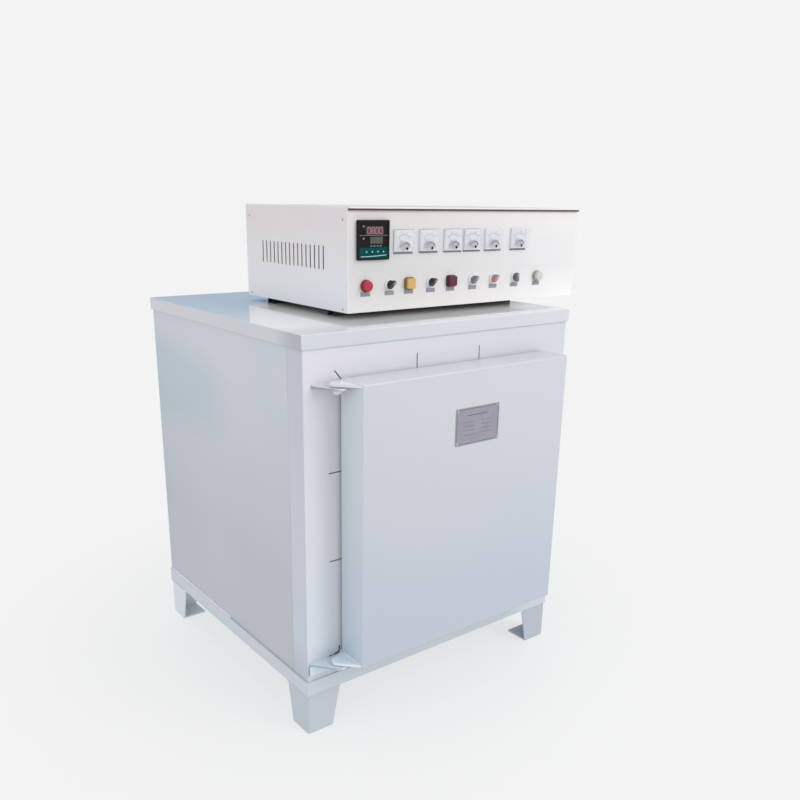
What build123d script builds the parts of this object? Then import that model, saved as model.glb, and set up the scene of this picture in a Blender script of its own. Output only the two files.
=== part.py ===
from build123d import *
from math import atan2, degrees, hypot
import os

# Box furnace: a sheet steel cabinet on four legs, a brick chamber heated by strips on both side walls,
# a thick door hung on the left, and a separate control box that stands on the top plate.
# Millimetres, +Z up, +Y from the door to the rear, +X to the right of someone who faces the door.
# The origin lies on the floor under the middle of the whole outline.

os.makedirs("parts", exist_ok=True)

# Cabinet sizes
CABINET_WIDTH = 890.0
CABINET_DEPTH = 850.0
SHEET = 2.0
RAIL_BOTTOM = 116.0
RAIL_HEIGHT = 40.0
RAIL_THICKNESS = 4.0
LEG_TOP_WIDTH = 100.0
LEG_FOOT_WIDTH = 76.0
LEG_SHEET = 4.0
BAND_BOTTOM = 1013.0
BAND_HEIGHT = 34.0
TOP_SHEET = 3.0
TOP_OVERHANG = 5.0
FOLD_RADIUS = 2.5
CORNER_RETURN = 66.0
REAR_RETURN = 13.0
SEAM = 0.6

# Chamber and lining
CHAMBER_WIDTH = 400.0
CHAMBER_HEIGHT = 400.0
CHAMBER_DEPTH = 500.0
CHAMBER_MIDDLE_HEIGHT = 574.0
BRICK = 118.0
THROAT_DEPTH = 110.0
FRAME_MARGIN = 20.0
HEARTH_THICKNESS = 16.0
ELEMENT_POCKET_DEPTH = 14.0
ELEMENT_RUNS = 10
ELEMENT_PITCH = 36.0
STRIP_WIDTH = 12.0
STRIP_THICKNESS = 2.5
POCKET_MARGIN = 14.0
LEAD_RADIUS = 5.0
BUSHING_RADIUS = 9.0
JOINT = 1.0
BOARD_GAP = 10.0

# Expansion slits in the front frame: upright ones from the left edge, level ones about the chamber's middle
SLIT_WIDTH = 3.0
UPRIGHT_SLITS = (337.0, 550.0)
UPRIGHT_SLIT_RISE = 36.0
LEVEL_SLITS = (-99.0, 133.0)
LEVEL_SLIT_END = 70.0
CORNER_SLIT_OUT = 13.0
CORNER_SLIT_UP = 19.0

# Door
DOOR_MARGIN = 101.0
DOOR_HEIGHT = 728.0
DOOR_THICKNESS = 92.0
DOOR_GAP = 8.0
DOOR_SHEET = 2.0
DOOR_FOLD = 3.0
PLUG_CLEARANCE = 8.0
PLUG_DEPTH = 58.0
PLUG_TAPER = 6.0
OPENING_MARGIN = 60.0
SEAL_WIDTH = 16.0
SEAL_SPAN = 500.0
SEAL_SEAT = 6.0
SEAL_NIP = 0.3
NAMEPLATE_WIDTH = 150.0
NAMEPLATE_HEIGHT = 97.0
NAMEPLATE_THICKNESS = 1.0
NAMEPLATE_INSET = 283.5
NAMEPLATE_DROP = 193.5
RIVET_RADIUS = 2.6
RIVET_HEIGHT = 1.5

# Hinges
PIN_FROM_DOOR = 31.0
PIN_FORWARD = 38.0
PIN_RADIUS = 6.0
PIN_CLEARANCE = 0.05
PIN_HEAD_RADIUS = 10.0
HEAD_CLEARANCE = 0.35
EAR_THICKNESS = 6.0
EAR_NOSE = 18.0
EAR_DROP = 7.0
COLLAR_THICKNESS = 3.0
COLLAR_RADIUS = 12.0
BRACKET_THICKNESS = 6.0
BRACKET_NOSE = 26.0
BRACKET_OUTERS = (66.0, 48.0)
BRACKET_INNER = 28.0
BRACKET_FOOT = 26.0
NUT_ACROSS = 18.0
NUT_HEIGHT = 10.0

# Door latch on the right edge of the door
LATCH_FORWARD = 44.0
LATCH_HUB_RADIUS = 13.0
LATCH_SHAFT_RADIUS = 5.0
LATCH_BASE_WIDTH = 13.0
LATCH_PLATE_THICKNESS = 4.0
LATCH_PLATE_HALF_DEPTH = 24.0
LATCH_PLATE_HALF_HEIGHT = 34.0
KEEPER_PLATE_WIDTH = 44.0
KEEPER_PLATE_HALF = 24.0
KEEPER_PLATE_THICKNESS = 5.0
HOOK_THICKNESS = 6.0
KEEPER_RADIUS = 4.0
KEEPER_REACH = 26.0
CLAW_CLEARANCE = 2.0
CLAW_WIDTH = 6.5
LEVER_LENGTH = 138.0
LEVER_THICKNESS = 6.0
GRIP_RADIUS = 9.0
GRIP_LENGTH = 84.0

# Control box
BOX_LEFT = 218.0
BOX_WIDTH = 842.0
BOX_FRONT = 133.0
BOX_DEPTH = 514.0
BOX_HEIGHT = 256.0
BOX_STAND = 17.0
BOX_SHEET = 1.5
LIP_REACH = 8.0
LIP_HEIGHT = 4.0
PANEL_GAP = 1.0
RUNNER_WIDTH = 30.0
RUNNER_INSET = 100.0
SCREW_HEAD_RADIUS = 3.2
SCREW_HEAD_HEIGHT = 1.4
LOUVRE_COUNT = 16
LOUVRE_PITCH = 20.7
LOUVRE_HEIGHT = 60.0
LOUVRE_WIDTH = 5.5
LOUVRE_FIRST = 109.0
LOUVRE_RISE = 100.0
CORE_WIDTH = 150.0
CORE_DEPTH = 90.0
CORE_HEIGHT = 130.0
CORE_OFFSET = 79.0

# Instruments, measured from the left edge of the control box, and from its top or bottom
CONTROLLER_SIZE = 96.0
CONTROLLER_BODY = 91.0
CONTROLLER_PLACE = 74.0
CONTROLLER_DROP = 79.0
CONTROLLER_PROUD = 9.0
CONTROLLER_DEPTH = 72.0
METER_PLACES = (173.0, 257.0, 342.0, 412.0, 491.0, 591.0)
METER_DROP = 82.0
METER_WIDTH = 64.0
METER_HEIGHT = 56.0
METER_PROUD = 14.0
METER_BARREL_RADIUS = 25.0
METER_BARREL_DEPTH = 36.0
DEVICE_RISE = 66.0
ROUND_BUTTONS = {"red_push_button": 54.0, "white_push_button": 677.0}
SQUARE_BUTTONS = {"yellow_push_button": 194.0, "dark_red_push_button": 339.0}
SELECTORS = {
    "selector_one": (130.0, 45.0),
    "selector_two": (269.0, 45.0),
    "selector_three": (421.0, 45.0),
    "red_selector": (500.0, 45.0),
    "selector_four": (585.0, 0.0),
}
DEVICE_BEZEL_RADIUS = 15.0
DEVICE_SLEEVE_RADIUS = 11.0
BUTTON_RADIUS = 13.5
BUTTON_STEM_RADIUS = 6.0
BUTTON_PROUD = 16.0
BUTTON_HEAD = 11.0
BUTTON_TRAVEL = 4.0
BEZEL_PROUD = 7.0
BEZEL_FLOOR = 0.8
KNOB_RADIUS = 11.0
SLIDE_CLEARANCE = 0.06
KEY_TRAVEL = 0.6
CONTACT_WIDTH = 26.0
CONTACT_HEIGHT = 40.0

# Rear fittings
REAR_REACH = 62.0
TERMINAL_COVER_WIDTH = 130.0
TERMINAL_COVER_HEIGHT = 460.0
VENT_LENGTH = 70.0
VENT_FROM_END = 70.0
COUPLE_RISE = 142.0
COUPLE_RADIUS = 6.0
COUPLE_REACH = 80.0
COUPLE_HEAD_RADIUS = 27.0
COUPLE_FLANGE_RADIUS = 20.0
COUPLE_NECK_RADIUS = 11.0
COUPLE_GLAND_RADIUS = 9.0
COUPLE_GLAND_REACH = 14.0

# Placement of the cabinet about the origin
outline_left = -TOP_OVERHANG
outline_right = BOX_LEFT + BOX_WIDTH + SCREW_HEAD_HEIGHT
outline_front = -(DOOR_GAP + DOOR_THICKNESS + NAMEPLATE_THICKNESS + RIVET_HEIGHT)
outline_rear = CABINET_DEPTH + REAR_REACH
left = -(outline_left + outline_right) / 2
front = -(outline_front + outline_rear) / 2
right = left + CABINET_WIDTH
rear = front + CABINET_DEPTH
middle = (left + right) / 2
panel_bottom = RAIL_BOTTOM + RAIL_THICKNESS
plate_top = BAND_BOTTOM + BAND_HEIGHT
panel_top = plate_top - TOP_SHEET
chamber_left = middle - CHAMBER_WIDTH / 2
chamber_right = middle + CHAMBER_WIDTH / 2
chamber_floor = CHAMBER_MIDDLE_HEIGHT - CHAMBER_HEIGHT / 2
chamber_roof = CHAMBER_MIDDLE_HEIGHT + CHAMBER_HEIGHT / 2
chamber_front = front + SHEET + THROAT_DEPTH
chamber_rear = chamber_front + CHAMBER_DEPTH
brick_left = chamber_left - BRICK
brick_right = chamber_right + BRICK
brick_floor = chamber_floor - BRICK
brick_roof = chamber_roof + BRICK
brick_rear = chamber_rear + BRICK
door_left = left + DOOR_MARGIN
door_right = right - DOOR_MARGIN
door_opening = SEAL_SPAN + OPENING_MARGIN
door_bottom = CHAMBER_MIDDLE_HEIGHT - DOOR_HEIGHT / 2
door_top = door_bottom + DOOR_HEIGHT
ear_levels = (door_bottom, door_top - EAR_DROP)
door_back = front - DOOR_GAP
door_face = door_back - DOOR_THICKNESS
box_left = left + BOX_LEFT
box_right = box_left + BOX_WIDTH
box_front = front + BOX_FRONT
box_rear = box_front + BOX_DEPTH
box_bottom = plate_top + BOX_STAND
box_top = box_bottom + BOX_HEIGHT
meter_level = box_top - METER_DROP
device_level = box_bottom + DEVICE_RISE
couple_level = CHAMBER_MIDDLE_HEIGHT + COUPLE_RISE


def save(piece, name):
    """Names one finished piece and writes it to its file."""
    piece.part.label = name
    export_step(piece.part, f"parts/{name}.step")


def block(x0, x1, y0, y1, z0, z1, mode=Mode.ADD):
    """Adds or cuts a rectangular block between six coordinates."""
    with Locations(((x0 + x1) / 2, (y0 + y1) / 2, (z0 + z1) / 2)):
        Box(x1 - x0, y1 - y0, z1 - z0, mode=mode)


def bar(x, y0, y1, z, radius, mode=Mode.ADD):
    """Adds or cuts a round bar that runs from front to rear."""
    with Locations(Location((x, (y0 + y1) / 2, z), (90, 0, 0))):
        Cylinder(radius, y1 - y0, mode=mode)


def post(x, y, z0, z1, radius, mode=Mode.ADD):
    """Adds or cuts an upright round bar."""
    with Locations((x, y, (z0 + z1) / 2)):
        Cylinder(radius, z1 - z0, mode=mode)


def pan_head(x, y, z, direction, radius, height):
    """Adds a rounded screw head that stands on a sheet and faces along a direction."""
    with Locations(Plane(origin=(x, y, z), z_dir=direction)):
        head = Cylinder(radius, height, align=(Align.CENTER, Align.CENTER, Align.MIN))
    top = head.faces().sort_by(Axis((x, y, z), direction))[-1]
    fillet(top.edges(), height * 0.45)


# Base frame: four lengths of angle iron welded into a ring
with BuildPart() as base_frame:
    with BuildSketch(Plane.XY.offset(RAIL_BOTTOM)):
        with Locations(((left + right) / 2, (front + rear) / 2)):
            Rectangle(CABINET_WIDTH + 2 * RAIL_THICKNESS, CABINET_DEPTH + 2 * RAIL_THICKNESS)
            Rectangle(CABINET_WIDTH, CABINET_DEPTH, mode=Mode.SUBTRACT)
    extrude(amount=RAIL_HEIGHT)
    with BuildSketch(Plane.XY.offset(RAIL_BOTTOM)):
        with Locations(((left + right) / 2, (front + rear) / 2)):
            Rectangle(CABINET_WIDTH + 2 * RAIL_THICKNESS, CABINET_DEPTH + 2 * RAIL_THICKNESS)
            Rectangle(CABINET_WIDTH - 2 * RAIL_HEIGHT, CABINET_DEPTH - 2 * RAIL_HEIGHT, mode=Mode.SUBTRACT)
    extrude(amount=RAIL_THICKNESS)
    fillet(base_frame.edges().filter_by(Axis.Z).group_by(Axis.X)[0], RAIL_THICKNESS)
    fillet(base_frame.edges().filter_by(Axis.Z).group_by(Axis.X)[-1], RAIL_THICKNESS)
save(base_frame, "base_frame")

# Legs: folded corner feet that taper toward the floor
with BuildPart() as legs:
    with BuildSketch(Plane.XZ.offset(-front)):
        with BuildLine():
            Polyline(
                (left, 0), (left + LEG_FOOT_WIDTH, 0), (left + LEG_TOP_WIDTH, RAIL_BOTTOM),
                (left, RAIL_BOTTOM), close=True,
            )
        make_face()
    extrude(amount=-LEG_SHEET)
    with BuildSketch(Plane.YZ.offset(left)):
        with BuildLine():
            Polyline(
                (front, 0), (front + LEG_FOOT_WIDTH, 0), (front + LEG_TOP_WIDTH, RAIL_BOTTOM),
                (front, RAIL_BOTTOM), close=True,
            )
        make_face()
    extrude(amount=LEG_SHEET)
    block(left, left + LEG_FOOT_WIDTH, front, front + LEG_FOOT_WIDTH, 0, LEG_SHEET)
    fillet(legs.edges().filter_by(Axis.Z).sort_by(Axis.X)[0], FOLD_RADIUS)
    mirror(about=Plane.YZ.offset(middle))
    mirror(about=Plane.XZ.offset(-(front + rear) / 2))
save(legs, "legs")

# Side panels between the folded corners
with BuildPart() as side_panels:
    for x in (left, right - SHEET):
        block(x, x + SHEET, front + CORNER_RETURN + SEAM, rear - REAR_RETURN - SEAM, panel_bottom, panel_top)
save(side_panels, "side_panels")

with BuildPart() as bottom_panel:
    block(left + SHEET, right - SHEET, front + SHEET, rear - SHEET, panel_bottom, panel_bottom + SHEET)
save(bottom_panel, "bottom_panel")

# Front frame: one folded sheet with the chamber opening and its expansion slits
slit_top = door_top + UPRIGHT_SLIT_RISE
with BuildPart() as front_frame:
    block(left, right, front, front + CORNER_RETURN, panel_bottom, panel_top)
    fillet(front_frame.edges().filter_by(Axis.Z).group_by(Axis.Y)[0], FOLD_RADIUS)
    block(
        left + SHEET, right - SHEET, front + SHEET, front + CORNER_RETURN,
        panel_bottom, panel_top, Mode.SUBTRACT,
    )
    with BuildSketch(Plane.XZ.offset(-front)):
        with Locations((middle, CHAMBER_MIDDLE_HEIGHT)):
            Rectangle(CHAMBER_WIDTH + 2 * FRAME_MARGIN, CHAMBER_HEIGHT + 2 * FRAME_MARGIN)
        for slit_x in UPRIGHT_SLITS:
            with Locations((left + slit_x, (CHAMBER_MIDDLE_HEIGHT + slit_top) / 2)):
                Rectangle(SLIT_WIDTH, slit_top - CHAMBER_MIDDLE_HEIGHT)
        for slit_rise in LEVEL_SLITS:
            with Locations((middle, CHAMBER_MIDDLE_HEIGHT + slit_rise)):
                Rectangle(CABINET_WIDTH - 2 * LEVEL_SLIT_END, SLIT_WIDTH)
        slit_x = (door_left - CORNER_SLIT_OUT + chamber_left) / 2
        slit_z = (door_top + CORNER_SLIT_UP + chamber_roof) / 2
        slit_run = chamber_left - door_left + CORNER_SLIT_OUT
        slit_fall = door_top + CORNER_SLIT_UP - chamber_roof
        with Locations(Location((slit_x, slit_z, 0), (0, 0, -degrees(atan2(slit_fall, slit_run))))):
            Rectangle(hypot(slit_run, slit_fall), SLIT_WIDTH)
    extrude(amount=-SHEET, mode=Mode.SUBTRACT)
save(front_frame, "front_frame")

# Rear panel with its bores for the bushings and the temperature probe
element_lead_levels = [
    CHAMBER_MIDDLE_HEIGHT + side * ELEMENT_PITCH * (ELEMENT_RUNS - 1) / 2 for side in (-1, 1)
]
strip_inset = ELEMENT_POCKET_DEPTH - STRIP_WIDTH / 2
element_lead_places = [
    (x, z)
    for x in (chamber_left - strip_inset, chamber_right + strip_inset)
    for z in element_lead_levels
]


def cut_rear_bores(y0, y1):
    """Cuts the bores that the bushings and the probe pass through."""
    for x, z in element_lead_places:
        bar(x, y0, y1, z, BUSHING_RADIUS, Mode.SUBTRACT)
    bar(middle, y0, y1, couple_level, COUPLE_RADIUS, Mode.SUBTRACT)


with BuildPart() as rear_panel:
    block(left, right, rear - REAR_RETURN, rear, panel_bottom, panel_top)
    fillet(rear_panel.edges().filter_by(Axis.Z).group_by(Axis.Y)[-1], FOLD_RADIUS)
    block(
        left + SHEET, right - SHEET, rear - REAR_RETURN, rear - SHEET,
        panel_bottom, panel_top, Mode.SUBTRACT,
    )
    cut_rear_bores(rear - SHEET, rear)
save(rear_panel, "rear_panel")

# Top plate: a shallow pan turned upside down over the walls
with BuildPart() as top_plate:
    block(
        left - TOP_OVERHANG, right + TOP_OVERHANG, front - TOP_OVERHANG, rear + TOP_OVERHANG,
        BAND_BOTTOM, plate_top,
    )
    fillet(top_plate.edges().filter_by(Axis.Z), FOLD_RADIUS)
    fillet(top_plate.faces().sort_by(Axis.Z)[-1].edges(), FOLD_RADIUS * 0.8)
    lip_inset = TOP_OVERHANG - TOP_SHEET
    block(
        left - lip_inset, right + lip_inset, front - lip_inset, rear + lip_inset,
        BAND_BOTTOM, panel_top, Mode.SUBTRACT,
    )
save(top_plate, "top_plate")

# Fibre boards between the sheet walls and the bricks, laid with open joints
with BuildPart() as insulation_boards:
    wall_low = panel_bottom + SHEET
    board_left = brick_left + JOINT
    board_right = brick_right - JOINT
    board_front = front + SHEET + BOARD_GAP
    block(left + SHEET, brick_left, board_front, rear - SHEET, wall_low, panel_top)
    block(brick_right, right - SHEET, board_front, rear - SHEET, wall_low, panel_top)
    block(board_left, board_right, board_front, rear - SHEET, wall_low, brick_floor)
    block(board_left, board_right, board_front, rear - SHEET, brick_roof, panel_top)
    block(board_left, board_right, brick_rear, rear - SHEET, brick_floor + JOINT, brick_roof - JOINT)
    cut_rear_bores(brick_rear, rear - SHEET)
save(insulation_boards, "insulation_boards")

# Bricks around the chamber
with BuildPart() as lining_slabs:
    block(brick_left, brick_right, chamber_front, chamber_rear, brick_floor, chamber_floor)
    block(brick_left, brick_right, chamber_front, chamber_rear, chamber_roof, brick_roof)
save(lining_slabs, "lining_slabs")

element_span = ELEMENT_PITCH * (ELEMENT_RUNS - 1)
pocket_half = element_span / 2 + POCKET_MARGIN
bend_radius = ELEMENT_PITCH / 2
run_front = chamber_front + ELEMENT_PITCH + POCKET_MARGIN
run_rear = chamber_rear - ELEMENT_PITCH - POCKET_MARGIN
pocket_front = run_front - bend_radius - POCKET_MARGIN / 2
with BuildPart() as lining_side_walls:
    for outer, face, pocket in (
        (brick_left, chamber_left, chamber_left - ELEMENT_POCKET_DEPTH),
        (brick_right, chamber_right, chamber_right + ELEMENT_POCKET_DEPTH),
    ):
        block(min(outer, face), max(outer, face), chamber_front, chamber_rear, chamber_floor, chamber_roof)
        block(
            min(face, pocket), max(face, pocket), pocket_front, chamber_rear,
            CHAMBER_MIDDLE_HEIGHT - pocket_half, CHAMBER_MIDDLE_HEIGHT + pocket_half, Mode.SUBTRACT,
        )
save(lining_side_walls, "lining_side_walls")

with BuildPart() as lining_back_wall:
    block(brick_left, brick_right, chamber_rear, brick_rear, brick_floor, brick_roof)
    cut_rear_bores(chamber_rear, brick_rear)
save(lining_back_wall, "lining_back_wall")

# Throat: four bricks that frame the mouth of the chamber
with BuildPart() as throat_bricks:
    throat_front = front + SHEET
    block(brick_left, chamber_left, throat_front, chamber_front, brick_floor, brick_roof)
    block(chamber_right, brick_right, throat_front, chamber_front, brick_floor, brick_roof)
    for low, high in ((brick_floor, chamber_floor), (chamber_roof, brick_roof)):
        block(chamber_left + JOINT, chamber_right - JOINT, throat_front, chamber_front, low, high)
save(throat_bricks, "throat_bricks")

# Hearth: a ribbed plate that carries the load
with BuildPart() as hearth_plate:
    hearth_margin = 12.0
    hearth_top = chamber_floor + HEARTH_THICKNESS
    block(
        chamber_left + hearth_margin, chamber_right - hearth_margin,
        chamber_front + hearth_margin, chamber_rear - hearth_margin, chamber_floor, hearth_top,
    )
    chamfer(hearth_plate.faces().sort_by(Axis.Z)[-1].edges(), 2.0)
    with BuildSketch(Plane.XY.offset(hearth_top)):
        with Locations((middle, (chamber_front + chamber_rear) / 2)):
            with GridLocations(52.0, 1.0, 7, 1):
                Rectangle(10.0, CHAMBER_DEPTH - 2 * hearth_margin - 40.0)
    extrude(amount=-4.0, mode=Mode.SUBTRACT)
save(hearth_plate, "hearth_plate")

# Heating strips: one unbroken strip per side wall, folded into level runs
run_levels = [CHAMBER_MIDDLE_HEIGHT - element_span / 2 + ELEMENT_PITCH * i for i in range(ELEMENT_RUNS)]
with BuildPart() as heating_strips:
    for x in (chamber_left - strip_inset, chamber_right + strip_inset):
        with BuildLine(Plane.YZ.offset(x)) as strip_path:
            for i, z in enumerate(run_levels):
                near, far = (run_front, run_rear) if i % 2 else (run_rear, run_front)
                start = (near if i else chamber_rear, z)
                end = (far if i < ELEMENT_RUNS - 1 else chamber_rear, z)
                Line(start, end)
                if i < ELEMENT_RUNS - 1:
                    bend = bend_radius if far == run_rear else -bend_radius
                    ThreePointArc(end, (far + bend, z + bend_radius), (far, run_levels[i + 1]))
        strip_start = Plane(strip_path.line @ 0, x_dir=(1, 0, 0), z_dir=strip_path.line % 0)
        with BuildSketch(strip_start) as strip_section:
            Rectangle(STRIP_WIDTH, STRIP_THICKNESS)
        sweep(strip_section.sketch, path=strip_path.line)
save(heating_strips, "heating_strips")

# Lead rods and their ceramic bushings
with BuildPart() as element_leads:
    for x, z in element_lead_places:
        bar(x, chamber_rear, rear + 36.0, z, LEAD_RADIUS)
save(element_leads, "element_leads")

with BuildPart() as lead_bushings:
    for x, z in element_lead_places:
        bar(x, chamber_rear, rear + 12.0, z, BUSHING_RADIUS)
        bar(x, rear, rear + 5.0, z, BUSHING_RADIUS + 5.0)
        bar(x, chamber_rear, rear + 12.0, z, LEAD_RADIUS, Mode.SUBTRACT)
save(lead_bushings, "lead_bushings")

# Vented covers over the terminals
cover_low = CHAMBER_MIDDLE_HEIGHT - TERMINAL_COVER_HEIGHT / 2
cover_high = CHAMBER_MIDDLE_HEIGHT + TERMINAL_COVER_HEIGHT / 2
cover_flange = 14.0
cover_middles = (chamber_left - strip_inset, chamber_right + strip_inset)
with BuildPart() as terminal_covers:
    for x in cover_middles:
        half = TERMINAL_COVER_WIDTH / 2
        block(
            x - half - cover_flange, x + half + cover_flange, rear, rear + BOX_SHEET,
            cover_low - cover_flange, cover_high + cover_flange,
        )
        block(x - half, x + half, rear, rear + REAR_REACH, cover_low, cover_high)
        block(
            x - half + BOX_SHEET, x + half - BOX_SHEET, rear, rear + REAR_REACH - BOX_SHEET,
            cover_low + BOX_SHEET, cover_high - BOX_SHEET, Mode.SUBTRACT,
        )
        with BuildSketch(Plane.XZ.offset(-(rear + REAR_REACH))) as cover_vents:
            for z in (cover_low + VENT_FROM_END, cover_high - VENT_FROM_END):
                with Locations((x, z)):
                    with GridLocations(1.0, 13.0, 1, 6):
                        SlotOverall(VENT_LENGTH, 5.0)
        extrude(cover_vents.sketch, amount=BOX_SHEET, mode=Mode.SUBTRACT)
save(terminal_covers, "terminal_covers")

# Temperature probe: a sheath that reaches into the chamber and a round head outside
with BuildPart() as probe_sheath:
    bar(middle, chamber_rear - COUPLE_REACH, rear + 12.0, couple_level, COUPLE_RADIUS)
    fillet(probe_sheath.edges().sort_by(Axis.Y)[0], COUPLE_RADIUS * 0.6)
save(probe_sheath, "probe_sheath")

with BuildPart() as probe_head:
    with BuildSketch(Plane.YZ.offset(middle)):
        with BuildLine():
            Polyline(
                (rear, couple_level + COUPLE_RADIUS),
                (rear, couple_level + COUPLE_FLANGE_RADIUS),
                (rear + 4.0, couple_level + COUPLE_FLANGE_RADIUS),
                (rear + 4.0, couple_level + COUPLE_NECK_RADIUS),
                (rear + 16.0, couple_level + COUPLE_NECK_RADIUS),
                (rear + 22.0, couple_level + COUPLE_HEAD_RADIUS - 2.0),
                (rear + 46.0, couple_level + COUPLE_HEAD_RADIUS - 2.0),
                (rear + 46.0, couple_level + COUPLE_HEAD_RADIUS),
                (rear + 56.0, couple_level + COUPLE_HEAD_RADIUS),
                (rear + 60.0, couple_level + COUPLE_HEAD_RADIUS - 4.0),
                (rear + 60.0, couple_level),
                (rear + 12.0, couple_level),
                (rear + 12.0, couple_level + COUPLE_RADIUS),
                close=True,
            )
        make_face()
    revolve(axis=Axis((middle, 0, couple_level), (0, 1, 0)))
    head_foot = couple_level - COUPLE_HEAD_RADIUS
    post(middle, rear + 34.0, head_foot - COUPLE_GLAND_REACH, head_foot + 6.0, COUPLE_GLAND_RADIUS)
save(probe_head, "probe_head")

# Hinges: a bracket welded to the frame, a collared pin with a sunk head and a nut below
pin_x = door_left - PIN_FROM_DOOR
pin_y = front - PIN_FORWARD
with BuildPart() as hinge_brackets:
    for level, outer in zip(ear_levels, BRACKET_OUTERS):
        bracket_low = level - COLLAR_THICKNESS - BRACKET_THICKNESS
        with BuildSketch(Plane.XY.offset(bracket_low)) as bracket_outline:
            with BuildLine():
                CenterArc((pin_x, pin_y), BRACKET_NOSE, 0, 360)
                Line((pin_x - outer, front), (pin_x + BRACKET_INNER, front))
            make_hull()
            with Locations((pin_x, pin_y)):
                Circle(PIN_RADIUS, mode=Mode.SUBTRACT)
        extrude(bracket_outline.sketch, amount=BRACKET_THICKNESS)
    fillet(hinge_brackets.edges().filter_by(GeomType.CIRCLE).group_by(SortBy.RADIUS)[-1], 1.2)
    foot_top = ear_levels[0] - COLLAR_THICKNESS - BRACKET_THICKNESS
    block(
        pin_x - BRACKET_OUTERS[0], pin_x + BRACKET_INNER, front - BRACKET_THICKNESS, front,
        foot_top - BRACKET_FOOT, foot_top,
    )
save(hinge_brackets, "hinge_brackets")

pin_head_height = PIN_HEAD_RADIUS - PIN_RADIUS
nut_drop = COLLAR_THICKNESS + BRACKET_THICKNESS + NUT_HEIGHT
with BuildPart() as hinge_pins:
    for level in ear_levels:
        head_top = level + EAR_THICKNESS
        post(pin_x, pin_y, level - nut_drop - 2.0, head_top - pin_head_height, PIN_RADIUS)
        post(pin_x, pin_y, level - COLLAR_THICKNESS, level, COLLAR_RADIUS)
        with Locations((pin_x, pin_y, head_top - pin_head_height / 2)):
            Cone(PIN_RADIUS, PIN_HEAD_RADIUS, pin_head_height)
save(hinge_pins, "hinge_pins")

with BuildPart() as hinge_nuts:
    for level in ear_levels:
        with BuildSketch(Plane.XY.offset(level - nut_drop)) as nut_outline:
            with Locations((pin_x, pin_y)):
                RegularPolygon(NUT_ACROSS / 2, 6, major_radius=False)
                Circle(PIN_RADIUS, mode=Mode.SUBTRACT)
        extrude(nut_outline.sketch, amount=NUT_HEIGHT)
save(hinge_nuts, "hinge_nuts")

# Keeper of the latch: a cheek with a fixed pin on the frame beside the door
latch_y = front - LATCH_FORWARD
latch_level = CHAMBER_MIDDLE_HEIGHT
keeper_y = latch_y + KEEPER_REACH
cheek_x = door_right + LATCH_BASE_WIDTH + HOOK_THICKNESS + 2.0
with BuildPart() as latch_keeper:
    block(
        cheek_x, cheek_x + KEEPER_PLATE_WIDTH, front - KEEPER_PLATE_THICKNESS, front,
        latch_level - KEEPER_PLATE_HALF, latch_level + KEEPER_PLATE_HALF,
    )
    fillet(latch_keeper.edges().filter_by(Axis.Y), 3.0)
    with BuildSketch(Plane.YZ.offset(cheek_x)) as cheek_outline:
        with BuildLine():
            Polyline(
                (front, latch_level - 18.0), (front, latch_level + 18.0),
                (keeper_y - 8.0, latch_level + 8.0), (keeper_y - 8.0, latch_level - 8.0), close=True,
            )
        make_face()
    extrude(cheek_outline.sketch, amount=6.0)
    keeper_start = door_right + LATCH_BASE_WIDTH - 2.0
    with Locations(Location(((keeper_start + cheek_x) / 2, keeper_y, latch_level), (0, 90, 0))):
        Cylinder(KEEPER_RADIUS, cheek_x - keeper_start)
save(latch_keeper, "latch_keeper")

# Control box: runners, floor pan, front panel, rear panel and a folded cover
box_middle = (box_left + box_right) / 2
runner_left = box_left + 16.0
runner_right = right - 10.0
with BuildPart() as box_runners:
    for y in (box_front + RUNNER_INSET, box_rear - RUNNER_INSET):
        block(runner_left, runner_right, y - RUNNER_WIDTH / 2, y + RUNNER_WIDTH / 2, plate_top, box_bottom)
        block(
            runner_left, runner_right, y - RUNNER_WIDTH / 2 + SHEET, y + RUNNER_WIDTH / 2 - SHEET,
            plate_top, box_bottom - SHEET, Mode.SUBTRACT,
        )
save(box_runners, "box_runners")

floor_top = box_bottom + BOX_SHEET
inner_left = box_left + BOX_SHEET
inner_right = box_right - BOX_SHEET
panel_back = box_front + BOX_SHEET
rear_face = box_rear - BOX_SHEET
with BuildPart() as box_chassis:
    block(inner_left, inner_right, panel_back, box_rear, box_bottom, box_top - BOX_SHEET)
    fillet(box_chassis.edges().filter_by(Axis.X).sort_by(Axis.Y)[-1], 1.5)
    block(inner_left, inner_right, panel_back, rear_face, floor_top, box_top - BOX_SHEET, Mode.SUBTRACT)
    for x0, x1 in ((inner_left, inner_left + BOX_SHEET), (inner_right - BOX_SHEET, inner_right)):
        block(x0, x1, panel_back, rear_face, box_bottom, box_bottom + 14.0)
    with BuildSketch(Plane.XZ.offset(-box_rear)):
        with Locations((box_middle, box_top - 70.0)):
            with GridLocations(24.0, 1.0, 14, 1):
                SlotOverall(50.0, LOUVRE_WIDTH, rotation=90)
    extrude(amount=BOX_SHEET, mode=Mode.SUBTRACT)
save(box_chassis, "box_chassis")

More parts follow.
